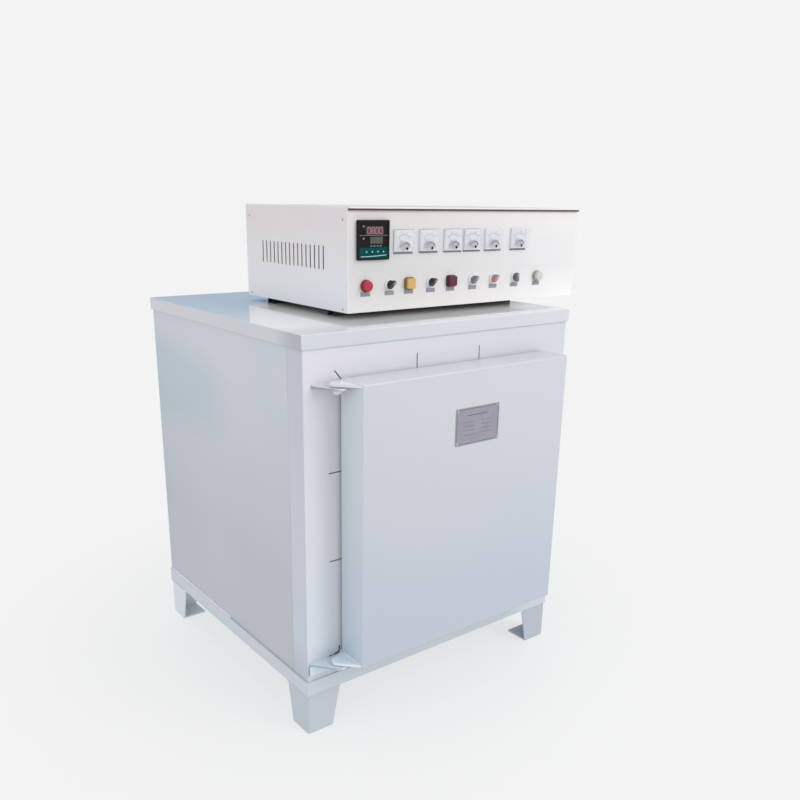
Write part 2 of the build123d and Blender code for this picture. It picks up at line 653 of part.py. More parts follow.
device_places = [*ROUND_BUTTONS.values(), *SQUARE_BUTTONS.values()]
device_places += [place for place, turn in SELECTORS.values()]
controller_x = box_left + CONTROLLER_PLACE
controller_z = box_top - CONTROLLER_DROP
cutout_clearance = 0.5
with BuildPart() as control_panel:
    block(inner_left, inner_right, box_front, panel_back, box_bottom, box_top - LIP_HEIGHT - PANEL_GAP)
    with BuildSketch(Plane.XZ.offset(-box_front)):
        with Locations((controller_x, controller_z)):
            Rectangle(CONTROLLER_BODY + 2 * cutout_clearance, CONTROLLER_BODY + 2 * cutout_clearance)
        with Locations(*[(box_left + x, meter_level) for x in METER_PLACES]):
            Circle(METER_BARREL_RADIUS + cutout_clearance)
        with Locations(*[(box_left + x, device_level) for x in device_places]):
            Circle(DEVICE_SLEEVE_RADIUS + cutout_clearance)
    extrude(amount=-BOX_SHEET, mode=Mode.SUBTRACT)
save(control_panel, "control_panel")

louvre_level = box_bottom + LOUVRE_RISE + LOUVRE_HEIGHT / 2
with BuildPart() as box_cover:
    block(box_left, box_right, box_front, box_rear, box_bottom, box_top)
    block(box_left, box_right, box_front - LIP_REACH, box_front, box_top - LIP_HEIGHT, box_top)
    fillet(box_cover.faces().sort_by(Axis.Z)[-1].edges().filter_by(Axis.Y), 2.0)
    block(
        inner_left, inner_right, box_front - LIP_REACH + BOX_SHEET, box_rear,
        box_bottom, box_top - BOX_SHEET, Mode.SUBTRACT,
    )
    with BuildSketch(Plane.YZ.offset(box_left)) as louvre_slots:
        for i in range(LOUVRE_COUNT):
            with Locations((box_front + LOUVRE_FIRST + LOUVRE_PITCH * i, louvre_level)):
                SlotOverall(LOUVRE_HEIGHT, LOUVRE_WIDTH, rotation=90)
    extrude(louvre_slots.sketch, amount=BOX_WIDTH, mode=Mode.SUBTRACT)
save(box_cover, "box_cover")

# Cable inlets on the back of the cabinet and of the control box
gland_places = [(x, rear, cover_low - 60.0) for x in cover_middles]
gland_places += [(box_left + 120.0 + 60.0 * i, box_rear, box_bottom + 50.0) for i in range(3)]
with BuildPart() as cable_glands:
    for x, y, z in gland_places:
        with BuildSketch(Plane.XZ.offset(-y)) as gland_hexagon:
            with Locations((x, z)):
                RegularPolygon(14.0, 6)
        extrude(gland_hexagon.sketch, amount=-7.0)
        bar(x, y + 7.0, y + 22.0, z, 11.0)
        bar(x, y + 10.0, y + 22.0, z, 6.5, Mode.SUBTRACT)
save(cable_glands, "cable_glands")

# Screws with rounded heads on the covers and the keeper
with BuildPart() as panel_screws:
    for y in (box_front + 21.0, box_rear - 21.0):
        for z in (box_top - 31.0, box_bottom + 8.0):
            pan_head(box_left, y, z, (-1, 0, 0), SCREW_HEAD_RADIUS, SCREW_HEAD_HEIGHT)
            pan_head(box_right, y, z, (1, 0, 0), SCREW_HEAD_RADIUS, SCREW_HEAD_HEIGHT)
    for x in cover_middles:
        for dx in (-1, 1):
            for z in (cover_low, CHAMBER_MIDDLE_HEIGHT, cover_high):
                screw_x = x + dx * (TERMINAL_COVER_WIDTH + cover_flange) / 2
                pan_head(screw_x, rear + BOX_SHEET, z, (0, 1, 0), SCREW_HEAD_RADIUS, SCREW_HEAD_HEIGHT)
    for z in (latch_level - 15.0, latch_level + 15.0):
        pan_head(cheek_x + 26.0, front - KEEPER_PLATE_THICKNESS, z, (0, -1, 0), 4.5, 2.6)
save(panel_screws, "panel_screws")

# Transformer on the floor of the control box
with BuildPart() as power_transformer:
    core_x = box_middle + CORE_OFFSET
    core_y = box_rear - CORE_WIDTH
    block(
        core_x - CORE_WIDTH / 2, core_x + CORE_WIDTH / 2, core_y - CORE_DEPTH / 2, core_y + CORE_DEPTH / 2,
        floor_top, floor_top + CORE_HEIGHT,
    )
    fillet(power_transformer.edges().filter_by(Axis.Y), 4.0)
    block(
        core_x - CORE_WIDTH / 3, core_x + CORE_WIDTH / 3,
        core_y - 0.8 * CORE_DEPTH, core_y + 0.8 * CORE_DEPTH,
        floor_top + 0.215 * CORE_HEIGHT, floor_top + 0.785 * CORE_HEIGHT,
    )
save(power_transformer, "power_transformer")

# Temperature controller: case, face plate and four keys
bezel_half = CONTROLLER_SIZE / 2
face_half = bezel_half - 4.0
bezel_front = box_front - CONTROLLER_PROUD
recess = 1.5
key_level = controller_z - 28.0
key_half_width = 6.0
key_half_height = 4.0
key_gap = 0.35
key_depth = 3.0
key_proud = 1.2
overlay_front = bezel_front + recess
key_pitch = 17.5
keys_aside = 3.3
key_places = [controller_x + keys_aside + key_pitch * (i - 1.5) for i in range(4)]
with BuildPart() as controller_case:
    block(
        controller_x - bezel_half, controller_x + bezel_half, bezel_front, box_front,
        controller_z - bezel_half, controller_z + bezel_half,
    )
    fillet(controller_case.edges().filter_by(Axis.Y), 3.0)
    block(
        controller_x - face_half, controller_x + face_half, bezel_front, bezel_front + recess + 4.0,
        controller_z - face_half, controller_z + face_half, Mode.SUBTRACT,
    )
    block(
        controller_x - CONTROLLER_BODY / 2, controller_x + CONTROLLER_BODY / 2, box_front, box_front + CONTROLLER_DEPTH,
        controller_z - CONTROLLER_BODY / 2, controller_z + CONTROLLER_BODY / 2,
    )
save(controller_case, "controller_case")

with BuildPart() as controller_face:
    block(
        controller_x - face_half, controller_x + face_half, overlay_front, overlay_front + 4.0,
        controller_z - face_half, controller_z + face_half,
    )
    for x in key_places:
        block(
            x - key_half_width - key_gap, x + key_half_width + key_gap,
            overlay_front, overlay_front + key_depth - key_proud + KEY_TRAVEL + 0.2,
            key_level - key_half_height - key_gap, key_level + key_half_height + key_gap, Mode.SUBTRACT,
        )
        bar(
            x, overlay_front + key_depth - key_proud, overlay_front + 4.0, key_level,
            1.5 + SLIDE_CLEARANCE, Mode.SUBTRACT,
        )
save(controller_face, "controller_face")

for name, x in zip(("set_key", "shift_key", "down_key", "up_key"), key_places):
    with BuildPart() as key:
        block(
            x - key_half_width, x + key_half_width,
            overlay_front - key_proud, overlay_front + key_depth - key_proud,
            key_level - key_half_height, key_level + key_half_height,
        )
        fillet(key.edges().filter_by(Axis.Y), 1.2)
        fillet(key.faces().sort_by(Axis.Y)[0].edges(), 0.4)
        bar(x, overlay_front + key_depth - key_proud, overlay_front + 3.2, key_level, 1.5)
    save(key, name)

# Panel meters: moulded case with its pivot, dial, hood over the movement and clear cover
flange = 3.0
dial_thickness = 0.8
cover_wall = 1.5
pivot_drop = 14.0
pivot_radius = 1.0
with BuildPart() as meter_cases:
    for place in METER_PLACES:
        x = box_left + place
        block(
            x - METER_WIDTH / 2, x + METER_WIDTH / 2, box_front - flange, box_front,
            meter_level - METER_HEIGHT / 2, meter_level + METER_HEIGHT / 2,
        )
        bar(x, box_front, box_front + METER_BARREL_DEPTH, meter_level, METER_BARREL_RADIUS)
        bar(x, box_front - 8.4, box_front - flange, meter_level - pivot_drop, pivot_radius)
save(meter_cases, "meter_cases")

with BuildPart() as meter_dials:
    for place in METER_PLACES:
        x = box_left + place
        dial_back = box_front - flange
        block(
            x - METER_WIDTH / 2 + 3.0, x + METER_WIDTH / 2 - 3.0, dial_back - dial_thickness, dial_back,
            meter_level - METER_HEIGHT / 2 + 3.0, meter_level + METER_HEIGHT / 2 - 3.0,
        )
        bar(x, dial_back - dial_thickness, dial_back, meter_level - pivot_drop, pivot_radius, Mode.SUBTRACT)
save(meter_dials, "meter_dials")

meter_front = box_front - METER_PROUD
with BuildPart() as meter_covers:
    for place in METER_PLACES:
        x = box_left + place
        with BuildSketch(Plane.XZ.offset(-meter_front)) as cover_outline:
            with Locations((x, meter_level)):
                RectangleRounded(METER_WIDTH, METER_HEIGHT, 3.0)
        extrude(cover_outline.sketch, amount=-(METER_PROUD - flange))
        block(
            x - METER_WIDTH / 2 + cover_wall, x + METER_WIDTH / 2 - cover_wall,
            meter_front + cover_wall, box_front - flange,
            meter_level - METER_HEIGHT / 2 + cover_wall, meter_level + METER_HEIGHT / 2 - cover_wall,
            Mode.SUBTRACT,
        )
save(meter_covers, "meter_covers")

with BuildPart() as meter_hoods:
    hood_drop = 18.0
    hood_radius = 16.0
    for place in METER_PLACES:
        x = box_left + place
        with BuildSketch(Plane.XZ.offset(-(meter_front + cover_wall))) as hood_outline:
            with Locations((x, meter_level - hood_drop)):
                Circle(hood_radius)
            with Locations((x, meter_level - hood_drop - hood_radius / 2)):
                Rectangle(2 * hood_radius, hood_radius, mode=Mode.SUBTRACT)
        extrude(hood_outline.sketch, amount=-3.2)
save(meter_hoods, "meter_hoods")

# Push buttons: a fixed body with bezel, sleeve and contact block, and a head that slides in it
well_floor = box_front - BEZEL_FLOOR
stem_end = 20.0
sleeve_end = 30.0
block_end = 62.0


def switch_barrel(x):
    """Adds the threaded sleeve, the ring nut and the contact block behind the panel, bored for the stem."""
    bar(x, box_front, box_front + sleeve_end, device_level, DEVICE_SLEEVE_RADIUS)
    bar(x, panel_back, panel_back + 4.0, device_level, DEVICE_BEZEL_RADIUS - 1.0)
    block(
        x - CONTACT_WIDTH / 2, x + CONTACT_WIDTH / 2, box_front + sleeve_end, box_front + block_end,
        device_level - CONTACT_HEIGHT / 2, device_level + CONTACT_HEIGHT / 2,
    )
    bar(
        x, well_floor, box_front + sleeve_end, device_level,
        BUTTON_STEM_RADIUS + SLIDE_CLEARANCE, Mode.SUBTRACT,
    )


button_back = box_front - BUTTON_PROUD + BUTTON_HEAD
square_half = BUTTON_RADIUS - 0.5
square_corner = 4.0
with BuildPart() as push_button_bodies:
    for place in ROUND_BUTTONS.values():
        bar(box_left + place, box_front - BEZEL_PROUD, box_front, device_level, DEVICE_BEZEL_RADIUS)
    for place in SQUARE_BUTTONS.values():
        with BuildSketch(Plane.XZ.offset(-(box_front - BEZEL_PROUD))) as square_bezel:
            with Locations((box_left + place, device_level)):
                RectangleRounded(2 * DEVICE_BEZEL_RADIUS, 2 * DEVICE_BEZEL_RADIUS, square_corner + 2.0)
        extrude(square_bezel.sketch, amount=-BEZEL_PROUD)
    fillet(push_button_bodies.faces().sort_by(Axis.Y)[:4].edges(), 1.0)
    for place in ROUND_BUTTONS.values():
        bar(
            box_left + place, box_front - BEZEL_PROUD, well_floor, device_level,
            BUTTON_RADIUS + SLIDE_CLEARANCE, Mode.SUBTRACT,
        )
    for place in SQUARE_BUTTONS.values():
        with BuildSketch(Plane.XZ.offset(-(box_front - BEZEL_PROUD))) as square_well:
            with Locations((box_left + place, device_level)):
                RectangleRounded(
                    2 * (square_half + SLIDE_CLEARANCE), 2 * (square_half + SLIDE_CLEARANCE),
                    square_corner + SLIDE_CLEARANCE,
                )
        extrude(square_well.sketch, amount=-(BEZEL_PROUD - BEZEL_FLOOR), mode=Mode.SUBTRACT)
    for place in [*ROUND_BUTTONS.values(), *SQUARE_BUTTONS.values()]:
        switch_barrel(box_left + place)
save(push_button_bodies, "push_button_bodies")

for name, place in ROUND_BUTTONS.items():
    x = box_left + place
    with BuildPart() as push_button:
        bar(x, box_front - BUTTON_PROUD, button_back, device_level, BUTTON_RADIUS)
        fillet(push_button.faces().sort_by(Axis.Y)[0].edges(), 2.0)
        bar(x, button_back, box_front + stem_end, device_level, BUTTON_STEM_RADIUS)
    save(push_button, name)

for name, place in SQUARE_BUTTONS.items():
    x = box_left + place
    with BuildPart() as push_button:
        with BuildSketch(Plane.XZ.offset(-(box_front - BUTTON_PROUD + 1.0))):
            with Locations((x, device_level)):
                RectangleRounded(2 * square_half, 2 * square_half, square_corner)
        extrude(amount=-(BUTTON_HEAD - 1.0))
        fillet(push_button.faces().sort_by(Axis.Y)[0].edges(), 1.5)
        bar(x, button_back, box_front + stem_end, device_level, BUTTON_STEM_RADIUS)
    save(push_button, name)

# Rotary selectors: a fixed body with a ring bezel, and a knob with a grip that turns in it
selector_proud = 5.0
knob_back = BEZEL_FLOOR + 0.3
knob_face = 7.0
grip_front = 18.0
grip_length = 26.0
grip_width = 8.5
with BuildPart() as selector_bodies:
    for place, turn in SELECTORS.values():
        bar(box_left + place, box_front - selector_proud, box_front, device_level, DEVICE_BEZEL_RADIUS)
    fillet(selector_bodies.faces().sort_by(Axis.Y)[:5].edges(), 1.5)
    for place, turn in SELECTORS.values():
        bar(
            box_left + place, box_front - selector_proud, well_floor, device_level,
            KNOB_RADIUS + SLIDE_CLEARANCE, Mode.SUBTRACT,
        )
        switch_barrel(box_left + place)
save(selector_bodies, "selector_bodies")

for name, (place, turn) in SELECTORS.items():
    x = box_left + place
    with BuildPart() as selector:
        with BuildSketch(Plane.XZ.offset(-(box_front - grip_front))):
            with Locations(Location((x, device_level, 0), (0, 0, 90.0 - turn))):
                SlotOverall(grip_length, grip_width)
        extrude(amount=-(grip_front - knob_face))
        fillet(selector.faces().sort_by(Axis.Y)[0].edges(), 1.5)
        bar(x, box_front - knob_face, box_front - knob_back, device_level, KNOB_RADIUS)
        bar(x, box_front - knob_back, box_front + stem_end, device_level, BUTTON_STEM_RADIUS)
    save(selector, name)

# Door: folded shell with inward flanges, cast lining with a tapered plug, seal, hinge ears and plate
with BuildPart() as door_shell:
    block(door_left, door_right, door_face, door_back, door_bottom, door_top)
    fillet(door_shell.faces().sort_by(Axis.Y)[0].edges(), DOOR_FOLD)
    block(
        door_left + DOOR_SHEET, door_right - DOOR_SHEET, door_face + DOOR_SHEET, door_back - DOOR_SHEET,
        door_bottom + DOOR_SHEET, door_top - DOOR_SHEET, Mode.SUBTRACT,
    )
    half = door_opening / 2
    block(
        middle - half, middle + half, door_back - DOOR_SHEET, door_back,
        CHAMBER_MIDDLE_HEIGHT - half, CHAMBER_MIDDLE_HEIGHT + half, Mode.SUBTRACT,
    )
save(door_shell, "door_shell")

seal_outer = SEAL_SPAN + SEAL_WIDTH
seal_inner = SEAL_SPAN - SEAL_WIDTH
with BuildPart() as door_lining:
    block(
        door_left + DOOR_SHEET, door_right - DOOR_SHEET, door_face + DOOR_SHEET, door_back - DOOR_SHEET,
        door_bottom + DOOR_SHEET, door_top - DOOR_SHEET,
    )
    block(
        middle - half, middle + half, door_back - DOOR_SHEET, door_back,
        CHAMBER_MIDDLE_HEIGHT - half, CHAMBER_MIDDLE_HEIGHT + half,
    )
    with BuildSketch(Plane.XZ.offset(-door_back)) as plug_foot:
        with Locations((middle, CHAMBER_MIDDLE_HEIGHT)):
            RectangleRounded(CHAMBER_WIDTH - 2 * PLUG_CLEARANCE, CHAMBER_HEIGHT - 2 * PLUG_CLEARANCE, 8.0)
    extrude(plug_foot.sketch, amount=-PLUG_DEPTH, taper=PLUG_TAPER)
    with BuildSketch(Plane.XZ.offset(-door_back)) as seal_groove:
        with Locations((middle, CHAMBER_MIDDLE_HEIGHT)):
            RectangleRounded(seal_outer, seal_outer, SEAL_WIDTH)
            RectangleRounded(seal_inner, seal_inner, SEAL_WIDTH / 2, mode=Mode.SUBTRACT)
    extrude(seal_groove.sketch, amount=SEAL_SEAT, mode=Mode.SUBTRACT)
save(door_lining, "door_lining")

with BuildPart() as door_seal:
    with BuildSketch(Plane.XZ.offset(-(door_back - SEAL_SEAT))):
        with Locations((middle, CHAMBER_MIDDLE_HEIGHT)):
            RectangleRounded(seal_outer, seal_outer, SEAL_WIDTH)
            RectangleRounded(seal_inner, seal_inner, SEAL_WIDTH / 2, mode=Mode.SUBTRACT)
    extrude(amount=-(SEAL_SEAT + DOOR_GAP - SEAL_NIP))
    fillet(door_seal.faces().sort_by(Axis.Y)[-1].edges(), 3.0)
save(door_seal, "door_seal")

with BuildPart() as hinge_ears:
    for level in ear_levels:
        with BuildSketch(Plane.XY.offset(level)) as ear_outline:
            with BuildLine():
                CenterArc((pin_x, pin_y), EAR_NOSE, 0, 360)
                Line((door_left, door_face + 6.0), (door_left, door_back - 4.0))
            make_hull()
            with Locations((pin_x, pin_y)):
                Circle(PIN_RADIUS + PIN_CLEARANCE, mode=Mode.SUBTRACT)
        extrude(ear_outline.sketch, amount=EAR_THICKNESS)
        with Locations((pin_x, pin_y, level + EAR_THICKNESS - pin_head_height / 2)):
            Cone(
                PIN_RADIUS + HEAD_CLEARANCE, PIN_HEAD_RADIUS + HEAD_CLEARANCE, pin_head_height,
                mode=Mode.SUBTRACT,
            )
save(hinge_ears, "hinge_ears")

plate_left = door_left + NAMEPLATE_INSET
plate_bottom = door_top - NAMEPLATE_DROP
with BuildPart() as nameplate:
    with BuildSketch(Plane.XZ.offset(-door_face)):
        with Locations((plate_left + NAMEPLATE_WIDTH / 2, plate_bottom + NAMEPLATE_HEIGHT / 2)):
            RectangleRounded(NAMEPLATE_WIDTH, NAMEPLATE_HEIGHT, 3.0)
    extrude(amount=NAMEPLATE_THICKNESS)
save(nameplate, "nameplate")

plate_face = door_face - NAMEPLATE_THICKNESS
rivet_inset = 6.0
with BuildPart() as nameplate_rivets:
    for x in (plate_left + rivet_inset, plate_left + NAMEPLATE_WIDTH - rivet_inset):
        for z in (plate_bottom + rivet_inset, plate_bottom + NAMEPLATE_HEIGHT - rivet_inset):
            pan_head(x, plate_face, z, (0, -1, 0), RIVET_RADIUS, RIVET_HEIGHT)
save(nameplate_rivets, "nameplate_rivets")

# Latch: a flanged base with a shaft on the door's edge, a hooked lever that turns on it and a grip
hook_x = door_right + LATCH_BASE_WIDTH
lever_x = hook_x + HOOK_THICKNESS
shaft_end = lever_x + LEVER_THICKNESS


def cross_bar(x0, x1, radius, mode=Mode.ADD):
    """Adds or cuts a round bar along X on the axis of the latch."""
    with Locations(Location(((x0 + x1) / 2, latch_y, latch_level), (0, 90, 0))):
        Cylinder(radius, x1 - x0, mode=mode)


with BuildPart() as latch_base:
    block(
        door_right, door_right + LATCH_PLATE_THICKNESS,
        latch_y - LATCH_PLATE_HALF_DEPTH, latch_y + LATCH_PLATE_HALF_DEPTH,
        latch_level - LATCH_PLATE_HALF_HEIGHT, latch_level + LATCH_PLATE_HALF_HEIGHT,
    )
    fillet(latch_base.edges().filter_by(Axis.X), 5.0)
    cross_bar(door_right, hook_x, LATCH_HUB_RADIUS + 1.0)
    cross_bar(hook_x, shaft_end + 1.0, LATCH_SHAFT_RADIUS)
    cross_bar(shaft_end + 0.4, shaft_end + 4.0, LATCH_SHAFT_RADIUS + 3.5)
save(latch_base, "latch_base")

arm_angle = 120.0
claw_sweep = 85.0
claw_middle = KEEPER_REACH + KEEPER_RADIUS + CLAW_CLEARANCE + CLAW_WIDTH / 2
with BuildPart() as latch_lever:
    with BuildSketch(Plane.YZ.offset(hook_x)) as hook_outline:
        with Locations((latch_y, latch_level)):
            Circle(LATCH_HUB_RADIUS)
        with Locations(Location((latch_y, latch_level, 0), (0, 0, arm_angle))):
            with Locations((claw_middle / 2, 0)):
                Rectangle(claw_middle, 9.0)
        with BuildLine() as claw_line:
            CenterArc((latch_y, latch_level), claw_middle, arm_angle, claw_sweep)
        SlotArc(claw_line.edges()[0], CLAW_WIDTH)
    extrude(hook_outline.sketch, amount=HOOK_THICKNESS)
    with BuildSketch(Plane.YZ.offset(lever_x)) as lever_outline:
        with Locations((latch_y, latch_level)):
            Circle(LATCH_HUB_RADIUS)
        with Locations((latch_y, latch_level + LEVER_LENGTH / 2)):
            SlotOverall(LEVER_LENGTH, 14.0, rotation=90)
    extrude(lever_outline.sketch, amount=LEVER_THICKNESS)
    cross_bar(hook_x, shaft_end, LATCH_SHAFT_RADIUS + PIN_CLEARANCE, Mode.SUBTRACT)
save(latch_lever, "latch_lever")

grip_top = latch_level + LEVER_LENGTH + 6.0
with BuildPart() as latch_grip:
    with Locations((lever_x + LEVER_THICKNESS / 2, latch_y, grip_top - GRIP_LENGTH / 2)):
        Box(2 * GRIP_RADIUS - 4.0, 2 * GRIP_RADIUS + 4.0, GRIP_LENGTH)
    fillet(latch_grip.edges().filter_by(Axis.Z), 5.0)
    fillet(latch_grip.faces().sort_by(Axis.Z)[-1].edges(), 3.0)
    add(latch_lever.part, mode=Mode.SUBTRACT)
save(latch_grip, "latch_grip")
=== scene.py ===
"""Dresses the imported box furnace: a finish for every solid, and the small pieces around them."""

import logging
import math
import random
from collections.abc import Callable, Sequence
from dataclasses import dataclass
from enum import Enum

import bmesh
import bpy
import numpy as np
from mathutils import Matrix, Vector


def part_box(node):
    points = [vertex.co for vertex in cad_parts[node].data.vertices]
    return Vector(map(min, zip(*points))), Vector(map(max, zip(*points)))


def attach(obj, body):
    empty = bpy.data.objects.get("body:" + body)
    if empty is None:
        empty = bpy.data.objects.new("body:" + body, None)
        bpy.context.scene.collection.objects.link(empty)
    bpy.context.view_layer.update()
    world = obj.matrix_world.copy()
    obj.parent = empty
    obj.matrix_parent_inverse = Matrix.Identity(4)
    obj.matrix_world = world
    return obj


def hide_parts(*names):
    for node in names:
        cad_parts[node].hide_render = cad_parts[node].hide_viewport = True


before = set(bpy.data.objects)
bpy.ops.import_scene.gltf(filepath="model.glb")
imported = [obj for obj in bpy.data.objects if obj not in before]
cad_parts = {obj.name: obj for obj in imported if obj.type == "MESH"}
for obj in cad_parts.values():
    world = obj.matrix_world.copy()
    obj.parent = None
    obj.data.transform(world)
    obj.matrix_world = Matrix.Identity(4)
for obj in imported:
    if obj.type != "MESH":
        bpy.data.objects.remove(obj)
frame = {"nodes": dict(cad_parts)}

Triple = tuple[float, float, float]
Colour = Triple
Box = tuple[Vector, Vector]
Place = tuple[Vector, Vector, float]
Feeds = dict[str | int, object]
Mesh, Node, Tree = bpy.types.Mesh, bpy.types.Node, bpy.types.NodeTree
Socket, Sockets = bpy.types.NodeSocket, bpy.types.NodeOutputs

LOG = logging.getLogger("furnace")
MM = 0.001
CABINET, DOOR = "cabinet", "door"
NOWHERE, UPWARD, FORWARD = Vector((0, 0, 0)), Vector((0, 0, 1)), Vector((0, -1, 0))
SAME_SPOT = 1e-6
ROUNDED = 60.0


def screen(red: int, green: int, blue: int) -> Colour:
    """Turns a screen colour into the linear colour that a shader takes.

    Args:
        red: Red, 0 to 255.
        green: Green, 0 to 255.
        blue: Blue, 0 to 255.

    Returns:
        The linear colour.
    """
    parts = [value / 255 for value in (red, green, blue)]
    return tuple(v / 12.92 if v < 0.04 else ((v + 0.055) / 1.055) ** 2.4 for v in parts)


@dataclass
class Graph:
    """Adds nodes to a shader or geometry tree and links them."""

    tree: Tree

    def add(self, kind: str, feeds: Feeds | None = None, **options) -> Node:
        """Adds one node.

        Args:
            kind: The node's type.
            feeds: Input name or number to what feeds it.
            options: Settings of the node itself.

        Returns:
            The new node.
        """
        node = self.tree.nodes.new(kind)
        for option, value in options.items():
            setattr(node, option, value)
        self.feed(node, feeds or {})
        return node

    def feed(self, node: Node, feeds: Feeds) -> None:
        """Sets inputs of a node, or links sockets to them.

        Args:
            node: The node.
            feeds: Input name or number to a value, a colour of three parts, or a socket.
        """
        for key, value in feeds.items():
            entry = node.inputs[key]
            if isinstance(value, Socket):
                self.tree.links.new(value, entry)
            else:
                entry.default_value = (*value, 1.0) if entry.type == "RGBA" else value

    def use(self, group: Callable[[], Tree], **feeds) -> Sockets:
        """Places a shared shader group and gives its outputs."""
        return self.add("ShaderNodeGroup", feeds, node_tree=group()).outputs

    def maths(self, operation: str, *values: object) -> Socket:
        """Adds one sum and gives its result."""
        return self.add("ShaderNodeMath", dict(enumerate(values)), operation=operation).outputs[0]

    def vectors(self, operation: str, *values: object, gives: int | str = 0) -> Socket:
        """Adds one vector sum and gives its vector, or its number where gives is Value."""
        node = self.add("ShaderNodeVectorMath", dict(enumerate(values)), operation=operation)
        return node.outputs[gives]

    def scaled(self, vector: Socket, factor: object) -> Socket:
        """Multiplies a vector by a number."""
        feeds = {0: vector, "Scale": factor}
        return self.add("ShaderNodeVectorMath", feeds, operation="SCALE").outputs[0]

    def part(self, vector: Socket, axis: int) -> Socket:
        """Gives one part of a vector."""
        return self.add("ShaderNodeSeparateXYZ", {0: vector}).outputs[axis]

    def joined(self, **parts: object) -> Socket:
        """Makes a vector of its parts X, Y and Z."""
        return self.add("ShaderNodeCombineXYZ", parts).outputs[0]

    def noise(self, place: Socket, scale: object, detail: float, gives: int = 0) -> Socket:
        """Adds a noise texture and gives its value, or its colour where gives is 1."""
        feeds = {"Vector": place, "Scale": scale, "Detail": detail}
        return self.add("ShaderNodeTexNoise", feeds).outputs[gives]

    def mixed(self, share: object, first: object, second: object, way: str = "MIX") -> Socket:
        """Mixes two colours by a share from 0 to 1."""
        feeds = {0: share, 6: first, 7: second}
        return self.add("ShaderNodeMix", feeds, data_type="RGBA", blend_type=way).outputs[2]

    def spread(self, value: Socket, *ends: object) -> Socket:
        """Maps a value from one range to another, whose four ends follow it."""
        return self.add("ShaderNodeMapRange", dict(enumerate((value, *ends)))).outputs[0]

    def attribute(self, name: str, kind: str) -> Socket:
        """Reads an attribute of the points."""
        node = self.add("GeometryNodeInputNamedAttribute", {"Name": name}, data_type=kind)
        return node.outputs[0]

    def painted(self, geometry: Socket, finish: Socket) -> list[Socket]:
        """Ends a geometry tree: makes instances real and sets their finish."""
        real = self.add("GeometryNodeRealizeInstances", {0: geometry}).outputs[0]
        return [self.add("GeometryNodeSetMaterial", {0: real, "Material": finish}).outputs[0]]


def built_once(
    kind: str, gives: dict[str, object], takes: dict[str, object], fill: Callable,
) -> Callable[[], Tree]:
    """Turns a function that fills a group into one that gives the group.

    Args:
        kind: ShaderNodeTree or GeometryNodeTree.
        gives: Kind of each output.
        takes: Kind of each input, or the number or vector that it starts with.
        fill: Builds the inside from the graph and the inputs, and gives a socket for each output.

    Returns:
        A function that builds the group at its first call and finds it afterwards.
    """

    def group() -> Tree:
        """Gives the group.

        Returns:
            The group, named after the function that fills it.
        """
        tree = bpy.data.node_groups.get(fill.__name__)
        if tree:
            return tree
        tree = bpy.data.node_groups.new(fill.__name__, kind)
        for way, sockets in (("INPUT", takes), ("OUTPUT", gives)):
            for label, start in sockets.items():
                named = isinstance(start, str)
                shape = start if named else "Vector" if isinstance(start, tuple) else "Float"
                shape = f"NodeSocket{shape}"
                made = tree.interface.new_socket(label, in_out=way, socket_type=shape)
                if not named:
                    made.default_value = start
        graph = Graph(tree)
        results = fill(graph, graph.add("NodeGroupInput").outputs)
        graph.add("NodeGroupOutput", dict(enumerate(results)))
        return tree

    return group


# Shader groups that several finishes share


def shader_group(gives: str, **takes: object) -> Callable:
    """Makes a shader group of the function below it.

    Args:
        gives: Names of the outputs: Colour is a colour, and the others are numbers.
        takes: Kind of each input after the place, or the value that it starts with.

    Returns:
        The decorator.
    """
    outputs = {label: "Color" if label == "Colour" else "Float" for label in gives.split()}
    inputs = {"Place": "Vector", **takes}
    return lambda fill: built_once("ShaderNodeTree", outputs, inputs, fill)


@shader_group("Colour Share", Colour="Color", Second="Color", Scale=3.0, Amount=0.5)
def soft_clouds(graph: Graph, take: Sockets) -> list[Socket]:
    """Spreads soft patches of a second colour, as sprayed or cast surfaces show.

    Args:
        graph: The group's nodes.
        take: The group's inputs.

    Returns:
        The colour, and the share of the second one.
    """
    noise = graph.noise(take["Place"], take["Scale"], 2.0)
    share = graph.maths("MULTIPLY", graph.spread(noise, 0.35, 0.65, 0.0, 1.0), take["Amount"])
    return [graph.mixed(share, take["Colour"], take["Second"]), share]


@shader_group("Height Speckle", Scale=300.0)
def fine_grain(graph: Graph, take: Sockets) -> list[Socket]:
    """Makes a fine relief with a coarser wave under it, for bump and roughness.

    Args:
        graph: The group's nodes.
        take: The group's inputs.

    Returns:
        The height, and the fine speckle alone.
    """
    fine = graph.noise(take["Place"], take["Scale"], 3.0)
    wave = graph.noise(take["Place"], graph.maths("MULTIPLY", take["Scale"], 0.13), 1.0)
    return [graph.maths("ADD", graph.maths("MULTIPLY", fine, 0.4), wave), fine]


@shader_group("Colour Share", Colour="Color", Dust="Color", Amount=0.2)
def settled_dust(graph: Graph, take: Sockets) -> list[Socket]:
    """Lays dust on faces that look up and near the floor.

    Args:
        graph: The group's nodes.
        take: The group's inputs.

    Returns:
        The colour, and the share of dust.
    """
    facing = graph.add("ShaderNodeNewGeometry").outputs["Normal"]
    upward = graph.spread(graph.part(facing, 2), 0.55, 1.0, 0.0, 1.0)
    near_floor = graph.spread(graph.part(take["Place"], 2), 0.0, 0.28, 0.7, 0.0)
    patchy = graph.spread(graph.noise(take["Place"], 9.0, 5.0), 0.3, 0.75, 0.2, 1.0)
    share = graph.maths("MULTIPLY", graph.maths("MAXIMUM", upward, near_floor), patchy)
    share = graph.maths("MULTIPLY", share, take["Amount"])
    return [graph.mixed(share, take["Colour"], take["Dust"]), share]


